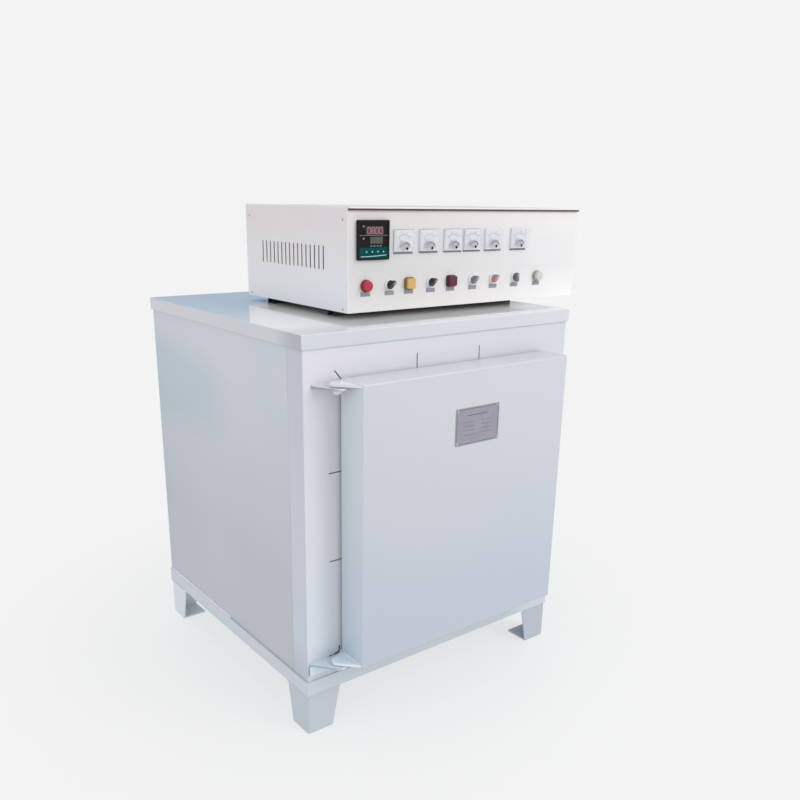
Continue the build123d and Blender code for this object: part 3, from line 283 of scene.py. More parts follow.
@shader_group("Colour Share", Colour="Color", Rubbed="Color", Reach=0.0015, Amount=0.5)
def wear_and_rim_shading(graph: Graph, take: Sockets) -> list[Socket]:
    """Changes the colour along edges towards the rim tone: paint wear where hands and cloths touch
    it, and painted light along the rims, a highlight where the tone is brighter and shade where it
    is darker.

    Args:
        graph: The group's nodes.
        take: The group's inputs.

    Returns:
        The colour, and the share of the rim tone.
    """
    rounded = graph.add("ShaderNodeBevel", {"Radius": take["Reach"]}, samples=4).outputs[0]
    flat = graph.add("ShaderNodeNewGeometry").outputs["Normal"]
    match = graph.vectors("DOT_PRODUCT", rounded, flat, gives="Value")
    patchy = graph.spread(graph.noise(take["Place"], 60.0, 4.0), 0.35, 0.6, 0.35, 1.0)
    share = graph.maths("MULTIPLY", graph.spread(match, 0.97, 0.8, 0.0, 1.0), patchy)
    share = graph.maths("MULTIPLY", share, take["Amount"])
    return [graph.mixed(share, take["Colour"], take["Rubbed"]), share]


@shader_group("Colour", Along=(0.0, 0.0, 1.0), Colour="Color", Tone="Color", Start=0.0, End=1.0)
def painted_light_fade(graph: Graph, take: Sockets) -> list[Socket]:
    """Paints light and shade that change slowly along one direction of the furnace.

    Args:
        graph: The group's nodes.
        take: The group's inputs.

    Returns:
        The colour.
    """
    reach = graph.vectors("DOT_PRODUCT", take["Place"], take["Along"], gives="Value")
    share = graph.spread(reach, take["Start"], take["End"], 0.0, 1.0)
    return [graph.mixed(share, take["Colour"], take["Tone"], "MULTIPLY")]


@shader_group("Colour", Middle="Vector", Reach=(1.0, 1.0, 1.0), Colour="Color", Tone="Color")
def painted_reflection_patch(graph: Graph, take: Sockets) -> list[Socket]:
    """Paints a reflection as a change of tone around one place, with soft edges.

    Args:
        graph: The group's nodes.
        take: The group's inputs.

    Returns:
        The colour.
    """
    away = graph.vectors("SUBTRACT", take["Place"], take["Middle"])
    reach = graph.vectors("LENGTH", graph.vectors("DIVIDE", away, take["Reach"]), gives="Value")
    share = graph.spread(reach, 1.0, 0.45, 0.0, 1.0)
    return [graph.mixed(share, take["Colour"], take["Tone"], "MULTIPLY")]


# Finishes


class Along(Enum):
    """The direction of a fade."""

    X = (1.0, 0.0, 0.0)
    Y = (0.0, 1.0, 0.0)
    Z = (0.0, 0.0, 1.0)


@dataclass(frozen=True)
class Fade:
    """Painted light and shade: a slow change of tone from one place of the furnace to another."""

    along: Along
    start: float
    end: float
    tone: Colour


@dataclass(frozen=True)
class ReflectionPatch:
    """A painted reflection: a soft patch of another tone around one place of the furnace."""

    middle: Triple
    reach: Triple
    tone: Colour


@dataclass(frozen=True)
class Finish:
    """A surface finish with a name, which becomes one material."""

    name: str
    colour: Colour
    roughness: float = 0.4

    def material(self) -> bpy.types.Material:
        """Gives the material, built at the first call.

        Returns:
            The material.
        """
        name = f"finish_{self.name}"
        made = bpy.data.materials.get(name)
        if made:
            return made
        made = bpy.data.materials.new(name)
        made.use_nodes = True
        made.diffuse_color = (*self.colour, 1.0)
        graph = Graph(made.node_tree)
        place = graph.add("ShaderNodeTexCoord").outputs["Object"]
        graph.feed(made.node_tree.nodes["Principled BSDF"], self.feeds(graph, place))
        return made

    def feeds(self, graph: Graph, place: Socket) -> Feeds:
        """Builds the nodes of the material.

        Args:
            graph: The material's nodes.
            place: Where the shaded point lies on the furnace.

        Returns:
            What feeds the inputs of the shader.
        """
        raise NotImplementedError

    def toned(self, factor: float, lift: float = 0.0) -> Colour:
        """Gives a darker or brighter tone of the finish's colour."""
        return tuple(min(1.0, part * factor + lift) for part in self.colour)

    def relief(self, graph: Graph, height: Socket, depth: float, strength: float) -> Socket:
        """Turns a height into a bumped normal."""
        feeds = {"Strength": strength, "Distance": depth, "Height": height}
        return graph.add("ShaderNodeBump", feeds).outputs[0]


@dataclass(frozen=True)
class Enamel(Finish):
    """Sprayed paint on sheet steel, with soft patches, orange peel and a little dust, and with
    painted light and shade: slow changes of tone, painted reflections, a side shading tone and
    highlights along the rims.
    """

    second: Colour = (0.5, 0.55, 0.6)
    patch: float = 2.2
    patch_amount: float = 0.5
    peel: float = 420.0
    peel_depth: float = 0.00012
    dust: float = 0.15
    dust_tone: Colour = screen(196, 193, 186)
    # Rim shading: paint wear and a painted highlight along the edges.
    rim_shading: float = 0.25
    rim_shading_tone: Colour = screen(226, 230, 236)
    rim_shading_reach: float = 0.0016
    coat: float = 0.35
    gloss: float = 0.08
    light_fades: tuple[Fade, ...] = ()
    painted_reflections: tuple[ReflectionPatch, ...] = ()
    side_shading: Colour = (1.0, 1.0, 1.0)

    def feeds(self, graph: Graph, place: Socket) -> Feeds:
        """Builds the paint, with painted light and shade: a side shading tone on faces that look
        sideways, slow changes of tone and painted reflections.

        Args:
            graph: The material's nodes.
            place: Where the shaded point lies on the furnace.

        Returns:
            What feeds the inputs of the shader.
        """
        tone = graph.use(
            soft_clouds, Place=place, Colour=self.colour, Second=self.second, Scale=self.patch,
            Amount=self.patch_amount,
        )[0]
        # Painted light and shade that change slowly across the furnace.
        for fade in self.light_fades:
            tone = graph.use(
                painted_light_fade, Place=place, Along=fade.along.value, Colour=tone, Tone=fade.tone,
                Start=fade.start, End=fade.end,
            )[0]
        # Painted reflections, each a soft patch of another tone.
        for reflection in self.painted_reflections:
            tone = graph.use(
                painted_reflection_patch, Place=place, Middle=reflection.middle, Reach=reflection.reach, Colour=tone,
                Tone=reflection.tone,
            )[0]
        # Painted light and shade on faces that look sideways, by the side shading tone.
        facing = graph.add("ShaderNodeNewGeometry").outputs["Normal"]
        sideways = graph.maths("ABSOLUTE", graph.part(facing, 0))
        tone = graph.mixed(sideways, tone, self.side_shading, "MULTIPLY")
        # Paint wear and a painted highlight along the rims.
        rim_shaded = graph.use(
            wear_and_rim_shading, Place=place, Colour=tone, Rubbed=self.rim_shading_tone, Reach=self.rim_shading_reach,
            Amount=self.rim_shading,
        )[0]
        dusty = graph.use(
            settled_dust, Place=place, Colour=rim_shaded, Dust=self.dust_tone, Amount=self.dust,
        )
        fine = graph.use(fine_grain, Place=place, Scale=self.peel)
        dull = graph.maths("MULTIPLY_ADD", dusty[1], 0.5, self.roughness)
        return {
            "Base Color": dusty[0],
            "Roughness": graph.maths("MULTIPLY_ADD", fine[1], 0.08, dull),
            "Coat Weight": self.coat,
            "Coat Roughness": self.gloss,
            "Normal": self.relief(graph, fine[0], self.peel_depth, 0.35),
        }


class Lay(Enum):
    """The way in which a metal surface was worked, as the stretch of its grain."""

    CAST = (1.0, 1.0, 1.0)
    ALONG_X = (0.02, 1.0, 1.0)
    ALONG_Y = (1.0, 0.02, 1.0)


@dataclass(frozen=True)
class Metal(Finish):
    """Bare or plated metal with a lay and spots."""

    second: Colour = (0.3, 0.3, 0.3)
    lay: Lay = Lay.CAST
    scale: float = 700.0
    depth: float = 0.00004
    spots: float = 0.35
    spot_scale: float = 45.0

    def feeds(self, graph: Graph, place: Socket) -> Feeds:
        """Builds the metal, with darker streaks along its lay.

        Args:
            graph: The material's nodes.
            place: Where the shaded point lies on the furnace.

        Returns:
            What feeds the inputs of the shader.
        """
        stretch = {"Vector": place, "Scale": self.lay.value}
        worked = graph.add("ShaderNodeMapping", stretch).outputs[0]
        fine = graph.use(fine_grain, Place=worked, Scale=self.scale)
        spotted = graph.use(
            soft_clouds, Place=place, Colour=self.colour, Second=self.second,
            Scale=self.spot_scale, Amount=self.spots,
        )[0]
        streaks = graph.maths("MULTIPLY", graph.spread(fine[1], 0.35, 0.65, 0.0, 1.0), 0.4)
        return {
            "Base Color": graph.mixed(streaks, spotted, self.toned(0.72)),
            "Roughness": graph.maths("MULTIPLY_ADD", fine[1], 0.2, self.roughness - 0.08),
            "Metallic": 1.0,
            "Normal": self.relief(graph, fine[0], self.depth, 0.5),
        }


@dataclass(frozen=True)
class Plastic(Finish):
    """Moulded plastic, card or print, with a fine spark texture and painted light along its edges.
    """

    scale: float = 900.0
    depth: float = 0.00003
    rim_shading: float = 0.2
    alpha: float = 1.0
    specular: float = 0.5
    # Tone of the edges: above 1 a painted highlight, below 1 painted shade.
    edge: float = 1.6
    reach: float = 0.0006
    patch: float = 70.0
    patch_amount: float = 0.35

    def feeds(self, graph: Graph, place: Socket) -> Feeds:
        """Builds the plastic, with a painted highlight along its edges, or painted shade where edge
        is under 1.

        Args:
            graph: The material's nodes.
            place: Where the shaded point lies on the furnace.

        Returns:
            What feeds the inputs of the shader.
        """
        tone = graph.use(
            soft_clouds, Place=place, Colour=self.colour, Second=self.toned(1.25, 0.01),
            Scale=self.patch, Amount=self.patch_amount,
        )[0]
        rim_shaded = graph.use(
            wear_and_rim_shading, Place=place, Colour=tone, Reach=self.reach, Amount=self.rim_shading,
            Rubbed=self.toned(self.edge, 0.06 if self.edge > 1.0 else 0.0),
        )[0]
        fine = graph.use(fine_grain, Place=place, Scale=self.scale)
        return {
            "Base Color": rim_shaded,
            "Roughness": graph.maths("MULTIPLY_ADD", fine[1], 0.12, self.roughness - 0.05),
            "Alpha": self.alpha,
            "Specular IOR Level": self.specular,
            "Normal": self.relief(graph, fine[0], self.depth, 0.4),
        }


@dataclass(frozen=True)
class Mineral(Finish):
    """Fire brick, fibre board, porcelain and other fired or pressed stuff."""

    second: Colour = (0.5, 0.4, 0.3)
    scale: float = 160.0
    depth: float = 0.0006
    pits: float = 0.5
    patch: float = 14.0
    patch_amount: float = 0.6

    def feeds(self, graph: Graph, place: Socket) -> Feeds:
        """Builds the stuff with its pits.

        Args:
            graph: The material's nodes.
            place: Where the shaded point lies on the furnace.

        Returns:
            What feeds the inputs of the shader.
        """
        tone = graph.use(
            soft_clouds, Place=place, Colour=self.colour, Second=self.second,
            Scale=self.patch, Amount=self.patch_amount,
        )[0]
        fine = graph.use(fine_grain, Place=place, Scale=self.scale)
        feeds = {"Vector": place, "Scale": self.scale * 1.6}
        cells = graph.add("ShaderNodeTexVoronoi", feeds).outputs["Distance"]
        pit = graph.maths("MULTIPLY", graph.spread(cells, 0.05, 0.3, 1.0, 0.0), self.pits)
        height = graph.maths("SUBTRACT", fine[0], pit)
        return {
            "Base Color": graph.mixed(pit, tone, self.toned(0.5)),
            "Roughness": graph.maths("MULTIPLY_ADD", pit, 0.1, self.roughness),
            "Normal": self.relief(graph, height, self.depth, 0.7),
        }


@dataclass(frozen=True)
class Lit(Finish):
    """A lit segment of a display."""

    strength: float = 1.0
    scale: float = 1500.0

    def feeds(self, graph: Graph, place: Socket) -> Feeds:
        """Builds the glow, with a fine grain.

        Args:
            graph: The material's nodes.
            place: Where the shaded point lies on the furnace.

        Returns:
            What feeds the inputs of the shader.
        """
        fine = graph.use(fine_grain, Place=place, Scale=self.scale)
        glow = graph.mixed(fine[1], self.colour, self.toned(0.6))
        return {
            "Base Color": glow,
            "Emission Color": glow,
            "Emission Strength": self.strength,
            "Roughness": self.roughness,
        }


# Painted shade along the rims of the button heads, whose sides fall in shade.
SHADED_RIM = {"edge": 0.4, "reach": 0.002, "rim_shading": 0.9}


class Stock:
    """The finishes of this furnace, by what they cover."""

    # Painted light and shade: darker lower down and towards the back, with a painted reflection on
    # the left side.
    cabinet = Enamel(
        "cabinet_enamel", screen(203, 203, 212), 0.28, second=screen(188, 199, 207), patch=2.6,
        light_fades=(
            Fade(Along.Z, 0.95, 0.42, (0.81, 0.81, 0.83)),
            Fade(Along.Y, 0.05, 0.42, (0.93, 0.94, 0.94)),
        ),
        painted_reflections=(ReflectionPatch((-0.53, 0.4, 0.81), (0.3, 0.5, 0.17), (0.8, 0.93, 0.93)),),
    )
    # Painted light and shade: darker on faces that look sideways and towards the right, lighter
    # lower down and darker again near the foot.
    face_frame = Enamel(
        "face_frame_enamel", screen(219, 215, 221), 0.3, second=screen(208, 211, 219),
        side_shading=(0.766, 0.787, 0.84),
        light_fades=(
            Fade(Along.X, -0.3, 0.36, (0.87, 0.92, 0.9)),
            Fade(Along.Z, 0.9, 0.3, (1.03, 1.1, 1.1)),
            Fade(Along.Z, 0.26, 0.17, (0.82, 0.86, 0.88)),
        ),
    )
    frame = Enamel(
        "frame_enamel", screen(199, 206, 215), 0.32, second=screen(191, 200, 209),
        dust=0.3, rim_shading=0.35,
    )
    # Painted shade on faces that look sideways, and painted light lower down.
    hinge = Enamel(
        "hinge_enamel", screen(214, 217, 223), 0.3, second=screen(206, 212, 220), dust=0.1,
        side_shading=(0.42, 0.44, 0.48), light_fades=(Fade(Along.Z, 0.9, 0.3, (1.0, 1.08, 1.1)),),
    )
    # Painted light: lighter and bluer lower down.
    ear = Enamel(
        "ear_enamel", screen(219, 221, 226), 0.28, second=screen(212, 217, 224), dust=0.05,
        light_fades=(Fade(Along.Z, 0.9, 0.3, (1.1, 1.18, 1.24)),),
    )
    # Painted shade towards the right, and painted light towards the back.
    leg = Enamel(
        "leg_enamel", screen(188, 196, 206), 0.34, second=screen(180, 189, 199),
        dust=0.3, rim_shading=0.35,
        light_fades=(
            Fade(Along.X, -0.35, 0.36, (0.85, 0.87, 0.89)),
            Fade(Along.Y, 0.2, 0.36, (1.45, 1.4, 1.36)),
        ),
    )
    # Painted light on the door's sideways faces, and painted shade lower down.
    door = Enamel(
        "door_enamel", screen(199, 199, 205), 0.26, second=screen(192, 198, 206), patch=1.6,
        coat=0.4, side_shading=(1.15, 1.19, 1.16), light_fades=(Fade(Along.Z, 0.9, 0.28, (0.84, 0.9, 0.96)),),
    )
    # Painted shade on faces that look sideways, and painted light on the plate in front of and
    # under the control box.
    top = Enamel(
        "plate_enamel", screen(204, 206, 211), 0.36, second=screen(198, 203, 210), patch=1.8,
        dust=0.08, coat=1.0, gloss=0.04, side_shading=(0.68, 0.68, 0.73),
        light_fades=(Fade(Along.Y, -0.37, -0.29, (1.45, 1.4, 1.3)),),
    )
    # Painted light: lighter and bluer lower down.
    box = Enamel(
        "box_enamel", screen(230, 220, 218), 0.38, second=screen(224, 219, 222), peel=650.0,
        coat=0.1, light_fades=(Fade(Along.Z, 1.28, 1.1, (1.02, 1.12, 1.17)),),
    )
    # Painted light: warmer towards the top, lighter towards the right and lower down.
    panel = Enamel(
        "panel_enamel", screen(209, 206, 205), 0.4, second=screen(205, 206, 207), peel=650.0,
        coat=0.05,
        light_fades=(
            Fade(Along.Z, 1.24, 1.32, (1.1, 1.02, 1.0)),
            Fade(Along.X, -0.1, 0.45, (1.16, 1.16, 1.17)),
            Fade(Along.Z, 1.16, 1.07, (1.18, 1.15, 1.13)),
        ),
    )
    # Dark paint on the runners, which also stands in for the shade under the control box.
    stand = Enamel(
        "stand_shade_enamel", screen(44, 44, 48), 0.5, second=screen(36, 36, 40), coat=0.0, rim_shading=0.1,
    )
    run = Enamel(
        "paint_run", screen(235, 232, 239), 0.4, second=screen(218, 216, 226), dust=0.0, rim_shading=0.0,
    )
    zinc = Metal("zinc_plate", screen(176, 180, 186), 0.38, second=screen(150, 156, 166))
    bright = Metal("bright_steel", screen(205, 205, 206), 0.26, second=screen(180, 180, 184))
    alloy = Metal(
        "cast_alloy", screen(172, 174, 178), 0.5, second=screen(150, 152, 157), scale=350.0,
        depth=0.00012,
    )
    plate = Metal(
        "plate_metal", screen(177, 174, 185), 0.36, second=screen(158, 156, 167),
        lay=Lay.ALONG_X, scale=900.0,
    )
    strip = Metal(
        "strip_alloy", screen(120, 112, 104), 0.55, second=screen(92, 84, 80), lay=Lay.ALONG_Y,
    )
    core = Metal(
        "iron_core", screen(96, 92, 90), 0.6, second=screen(70, 66, 64), lay=Lay.ALONG_X,
    )
    scorch = Metal(
        "weld_scorch", screen(66, 74, 88), 0.6, second=screen(48, 54, 66), scale=500.0,
        depth=0.0001,
    )
    brick = Mineral("fire_brick", screen(226, 214, 188), 0.85, second=screen(212, 196, 168))
    board = Mineral(
        "fibre_board", screen(236, 233, 224), 0.95, second=screen(222, 218, 206), scale=260.0,
        pits=0.2,
    )
    hearth = Mineral(
        "hearth_slab", screen(150, 138, 124), 0.7, second=screen(126, 116, 106), scale=120.0,
    )
    porcelain = Mineral(
        "porcelain", screen(236, 232, 222), 0.25, second=screen(226, 220, 208), depth=0.00005,
        pits=0.05,
    )
    rope = Mineral(
        "seal_rope", screen(228, 224, 214), 0.95, second=screen(206, 200, 188), scale=900.0,
        pits=0.15,
    )
    black = Plastic("black_plastic", screen(30, 30, 32), 0.42)
    dark = Plastic("dark_plastic", screen(22, 17, 17), 0.5, specular=0.1, rim_shading=0.05)
    case = Plastic("case_plastic", screen(22, 18, 18), 0.5, specular=0.15, rim_shading=0.1)
    white = Plastic("white_plastic", screen(222, 221, 222), 0.35)
    last = Plastic("last_button_plastic", screen(196, 192, 188), 0.4)
    # Collars are darker copies of the heads' colours: the bezels' own tone with painted shade for
    # their sides.
    last_collar = Plastic("last_collar_plastic", screen(150, 144, 142), 0.45)
    card = Plastic("dial_card", screen(212, 212, 217), 0.6, scale=1500.0)
    clear = Plastic("clear_cover", screen(226, 228, 236), 0.1, alpha=0.09, rim_shading=0.6)
    red = Plastic("red_plastic", screen(172, 30, 54), 0.36, **SHADED_RIM)
    # Darker collar copies of the head colours, partly painted shade on the bezels' sides.
    red_collar = Plastic("red_collar_plastic", screen(126, 34, 46), 0.45)
    yellow = Plastic("yellow_plastic", screen(202, 164, 92), 0.38, **SHADED_RIM)
    yellow_collar = Plastic("yellow_collar_plastic", screen(116, 98, 60), 0.45)
    maroon = Plastic("dark_red_plastic", screen(88, 22, 38), 0.36, **SHADED_RIM)
    maroon_collar = Plastic("dark_red_collar_plastic", screen(64, 30, 42), 0.45)
    grey = Plastic("grey_plastic", screen(116, 116, 119), 0.42)
    rose = Plastic("red_grey_plastic", screen(172, 126, 122), 0.42)
    knob = Plastic("knob_plastic", screen(50, 50, 52), 0.42)
    teal = Plastic("teal_face", screen(4, 70, 71), 0.5, specular=0.03, rim_shading=0.0)
    # Painted shadow under the control box's lip.
    lip_shadow = Plastic("lip_shadow_plastic", screen(88, 72, 72), 0.5, specular=0.1, rim_shading=0.0)
    mark = Plastic("pale_mark", screen(176, 206, 200), 0.5, specular=0.2)
    glass = Plastic("display_glass", screen(76, 75, 71), 0.4, specular=0.1, rim_shading=0.0)
    dot = Plastic("grey_lamp", screen(150, 140, 140), 0.4)
    ink = Plastic("dark_ink", screen(60, 58, 66), 0.5)
    ink_dot = Plastic("black_dot", screen(16, 16, 18), 0.5, specular=0.1)
    faint = Plastic("grey_ink", screen(124, 124, 132), 0.5)
    hood = Plastic("grey_hood", screen(176, 176, 184), 0.45)
    # Legend plates: their own grey, darkened as painted shadow of the switches above.
    legend = Plastic("legend_plate", screen(138, 138, 146), 0.5)
    # Painted shadow under the meter covers.
    cover_shadow = Plastic("cover_shadow_paint", screen(112, 112, 118), 0.7, specular=0.2)
    red_light = Lit("red_light", screen(156, 104, 107), 0.4, strength=0.3)
    green_light = Lit("green_light", screen(92, 96, 88), 0.4, strength=0.1)


# Meshes of the pieces


class Shape:
    """Collects the faces of one piece, in metres, in the furnace's own frame."""

    def __init__(self) -> None:
        """Starts an empty piece."""
        self.mesh = bmesh.new()

    def block(
        self, low: Sequence[float], high: Sequence[float], round_by: float = 0.0, steps: int = 2,
    ) -> "Shape":
        """Adds a block between two corners, with rounded edges.

        Args:
            low: Lowest corner.
            high: Highest corner.
            round_by: Radius of the edges.
            steps: Facets of each rounded edge.

        Returns:
            This shape.
        """
        centre = (Vector(low) + Vector(high)) / 2
        size = Vector(high) - Vector(low)
        matrix = Matrix.Translation(centre) @ Matrix.Diagonal((*size, 1.0))
        made = bmesh.ops.create_cube(self.mesh, size=1.0, matrix=matrix)
        if round_by:
            edges = {edge for vertex in made["verts"] for edge in vertex.link_edges}
            bmesh.ops.bevel(
                self.mesh, geom=list(edges), offset=round_by, segments=steps, profile=0.5,
                affect="EDGES", clamp_overlap=True,
            )
        return self

    def turned(
        self, profile: Sequence[tuple[float, float]], origin: Vector = NOWHERE,
        axis: Vector = UPWARD, sides: int = 20,
    ) -> "Shape":
        """Adds a turned solid.

        Args:
            profile: Pairs of radius and height along the axis; a radius of 0 closes an end.
            origin: Where height 0 lies.
            axis: The direction of the heights.
            sides: Facets around.

        Returns:
            This shape.
        """
        turn = axis.to_track_quat("Z", "Y").to_matrix().to_4x4()
        turn = Matrix.Translation(origin) @ turn
        rings = []
        for radius, height in profile:
            angles = [math.tau * step / sides for step in range(sides if radius else 1)]
            flat = [(radius * math.cos(angle), radius * math.sin(angle)) for angle in angles]
            rings.append([self.mesh.verts.new(turn @ Vector((*spot, height))) for spot in flat])
        for near, far in zip(rings, rings[1:]):
            for step in range(sides):
                after = (step + 1) % sides
                corners = [near[step % len(near)], near[after % len(near)]]
                corners += [far[after % len(far)], far[step % len(far)]]
                unique = list(dict.fromkeys(corners))
                if len(unique) > 2:
                    self.mesh.faces.new(unique)
        return self

    def prism(
        self, outline: Sequence[tuple[float, float]], depth: float, matrix: Matrix = Matrix(),
    ) -> "Shape":
        """Adds a prism of a flat outline.

        Args:
            outline: The corners in order.
            depth: Height of the prism.
            matrix: Where it stands, along the matrix's Z axis.

        Returns:
            This shape.
        """
        low, high = (
            [self.mesh.verts.new(matrix @ Vector((x, y, z))) for x, y in outline]
            for z in (0.0, depth)
        )
        self.mesh.faces.new(low[::-1])
        self.mesh.faces.new(high)
        for step in range(len(low)):
            after = (step + 1) % len(low)
            self.mesh.faces.new((low[step], low[after], high[after], high[step]))
        return self

    def band(
        self, radii: tuple[float, float], start: float, sweep: float, steps: int, depth: float,
        matrix: Matrix = Matrix(),
    ) -> "Shape":
        """Adds a flat band along an arc.

        Args:
            radii: Outer and inner radius.
            start: Angle of its first end, in radians.
            sweep: Angle from the first end to the last.
            steps: Facets along it.
            depth: Thickness.
            matrix: Where it stands, along the matrix's Z axis.

        Returns:
            This shape.
        """
        angles = [start + sweep * step / steps for step in range(steps + 1)]
        outer, inner = ([(r * math.cos(a), r * math.sin(a)) for a in angles] for r in radii)
        return self.prism(outer + inner[::-1], depth, matrix)

    def framed(
        self, profile: Sequence[tuple[float, float]], half: float, corner: float, matrix: Matrix,
    ) -> "Shape":
        """Adds a closed ring that follows a square with rounded corners.

        Args:
            profile: Pairs of outward offset and height, in order around the ring's section.
            half: Half the side of the square.
            corner: Radius of its corners; half the side gives a circle.
            matrix: Where the ring stands, along the matrix's Z axis.

        Returns:
            This shape.
        """
        loops, steps, inner = [], 8, half - corner
        middles = ((inner, inner), (-inner, inner), (-inner, -inner), (inner, -inner))
        for offset, height in profile:
            loop = []
            for quarter, (x, y) in enumerate(middles):
                for step in range(steps + 1 if inner > 0.0 else steps):
                    angle = math.radians(90.0 * (quarter + step / steps))
                    out = Vector((math.cos(angle), math.sin(angle), 0.0)) * (corner + offset)
                    loop.append(self.mesh.verts.new(matrix @ (out + Vector((x, y, height)))))
            loops.append(loop)
        for near, far in zip(loops, loops[1:] + loops[:1]):
            for step in range(len(near)):
                after = (step + 1) % len(near)
                self.mesh.faces.new((near[step], near[after], far[after], far[step]))
        return self

    def join(self, other: Mesh) -> "Shape":
        """Adds a finished mesh and removes it.

        Args:
            other: The mesh.

        Returns:
            This shape.
        """
        self.mesh.from_mesh(other)
        bpy.data.meshes.remove(other)
        return self

    def bead(
        self, start: Vector, end: Vector, finish: Finish, radius: float, seed: float,
        waver: float = 1.2 * MM,
    ) -> "Shape":
        """Adds a weld bead between two points.

        Args:
            start: One end.
            end: The other end.
            finish: The bead's finish.
            radius: Half the bead's width.
            seed: Number that sets how the bead wavers.
            waver: How far the bead strays from the line, side to side.

        Returns:
            This shape.
        """
        line = polyline([start, start.lerp(end, 0.5), end])
        sizes = {"Radius": radius, "Step": 0.9 * MM, "Waver": waver, "Seed": seed}
        return self.join(grow(weld_bead(), line, finish, **sizes))

    def flat_mesh(self, name: str, smooth: float = 35.0) -> Mesh:
        """Turns the collected faces into a mesh with outward faces.

        Args:
            name: The mesh's name.
            smooth: Largest angle between faces that shade as one.

        Returns:
            The mesh.
        """
        bmesh.ops.remove_doubles(self.mesh, verts=self.mesh.verts, dist=SAME_SPOT)
        bmesh.ops.recalc_face_normals(self.mesh, faces=self.mesh.faces)
        made = bpy.data.meshes.new(name)
        self.mesh.to_mesh(made)
        self.mesh.free()
        soften(made, smooth)
        return made

    def piece(
        self, name: str, finish: Finish, body: str, slot: str, smooth: float = 35.0,
    ) -> bpy.types.Object:
        """Turns the collected faces into a piece of a body.

        Args:
            name: The piece's name.
            finish: What covers it.
            body: The body that it moves with.
            slot: The record's material slot; not used.
            smooth: Largest angle between faces that shade as one.

        Returns:
            The new object.
        """
        return seat(self.flat_mesh(name, smooth), name, finish, body)

    def repeated(
        self, places: Sequence[Place], name: str, finish: Finish, body: str, slot: str,
        smooth: float = 30.0,
    ) -> bpy.types.Object:
        """Sets the collected faces at many places, as one piece of a body.

        Args:
            places: Point, facing and spin of each copy.
            name: The piece's name.
            finish: What covers it.
            body: The body that it moves with.
            slot: The record's material slot; not used.
            smooth: Largest angle between faces that shade as one.

        Returns:
            The new object.
        """
        copies = set_copies(self.flat_mesh(f"one_of_{name}", smooth), places, finish)
        return seat(copies, name, finish, body)


def soften(mesh: Mesh, angle: float) -> None:
    """Shades a mesh smooth, except over edges sharper than an angle."""
    mesh.shade_smooth()
    mesh.set_sharp_from_angle(angle=math.radians(angle))


def seat(mesh: Mesh, name: str, finish: Finish, body: str) -> bpy.types.Object:
    """Makes an object of a finished mesh and lets it ride on its body.

    Args:
        mesh: The mesh.
        name: The piece's name.
        finish: What covers it, unless the mesh has its finish.
        body: The body that it moves with.

    Returns:
        The new object.
    """
    made = bpy.data.objects.new(name, mesh)
    bpy.context.scene.collection.objects.link(made)
    if not mesh.materials:
        mesh.materials.append(finish.material())
    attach(made, body)
    LOG.info("%s: %d faces on %s", name, len(mesh.polygons), body)
    return made


def islands(node: str) -> list[Box]:
    """Gives the box of each separate solid of a node, from left to right.

    Args:
        node: Name of the node.

    Returns:
        Lowest and highest corner of each solid, in metres.
    """
    copy = bmesh.new()
    copy.from_mesh(frame["nodes"][node].data)
    bmesh.ops.remove_doubles(copy, verts=copy.verts, dist=SAME_SPOT)
    waiting, boxes = set(copy.verts), []
    while waiting:
        first = waiting.pop()
        group, edge_of = [first], [first]
        while edge_of:
            for edge in edge_of.pop().link_edges:
                for vertex in edge.verts:
                    if vertex in waiting:
                        waiting.discard(vertex)
                        group.append(vertex)
                        edge_of.append(vertex)
        spots = np.array([vertex.co for vertex in group])
        boxes.append((Vector(spots.min(0)), Vector(spots.max(0))))
    copy.free()
    return sorted(boxes, key=lambda box: tuple(round(part, 4) for part in (box[0] + box[1])))


def middle_of(box: Box) -> Vector:
    """Gives the middle of a box."""
    return (box[0] + box[1]) / 2


def front_of(box: Box) -> Vector:
    """Gives the middle of a box's front face."""
    return Vector((middle_of(box).x, box[0].y, middle_of(box).z))


def facing_front(spots: Sequence[Vector]) -> list[Place]:
    """Gives places that face the front, without spin."""
    return [(spot, FORWARD, 0.0) for spot in spots]


def upright(spot: Vector, turn: float = 0.0) -> Matrix:
    """Stands a flat drawing up at a place, its Z axis to the front, turned by degrees."""
    facing = Matrix.Rotation(math.pi / 2, 4, "X") @ Matrix.Rotation(math.radians(turn), 4, "Z")
    return Matrix.Translation(spot) @ facing


def dress(finish: Finish, *nodes: str) -> None:
    """Gives nodes of the frame their finish.

    Args:
        finish: What covers them.
        nodes: Names of the nodes.
    """
    for node in nodes:
        thing = frame["nodes"][node]
        if not thing.material_slots:
            thing.data.materials.append(finish.material())
        for place in thing.material_slots:
            place.material = finish.material()
        LOG.info("%s: %s", node, finish.name)


# Geometry node trees for what repeats


def geometry_tree(**takes: str) -> Callable:
    """Makes a geometry tree of the function below it.

    Args:
        takes: Kind of each input after the geometry and the finish.

    Returns:
        The decorator.
    """
    inputs = {"Geometry": "Geometry", "Finish": "Material", **takes}
    return lambda fill: built_once("GeometryNodeTree", {"Geometry": "Geometry"}, inputs, fill)


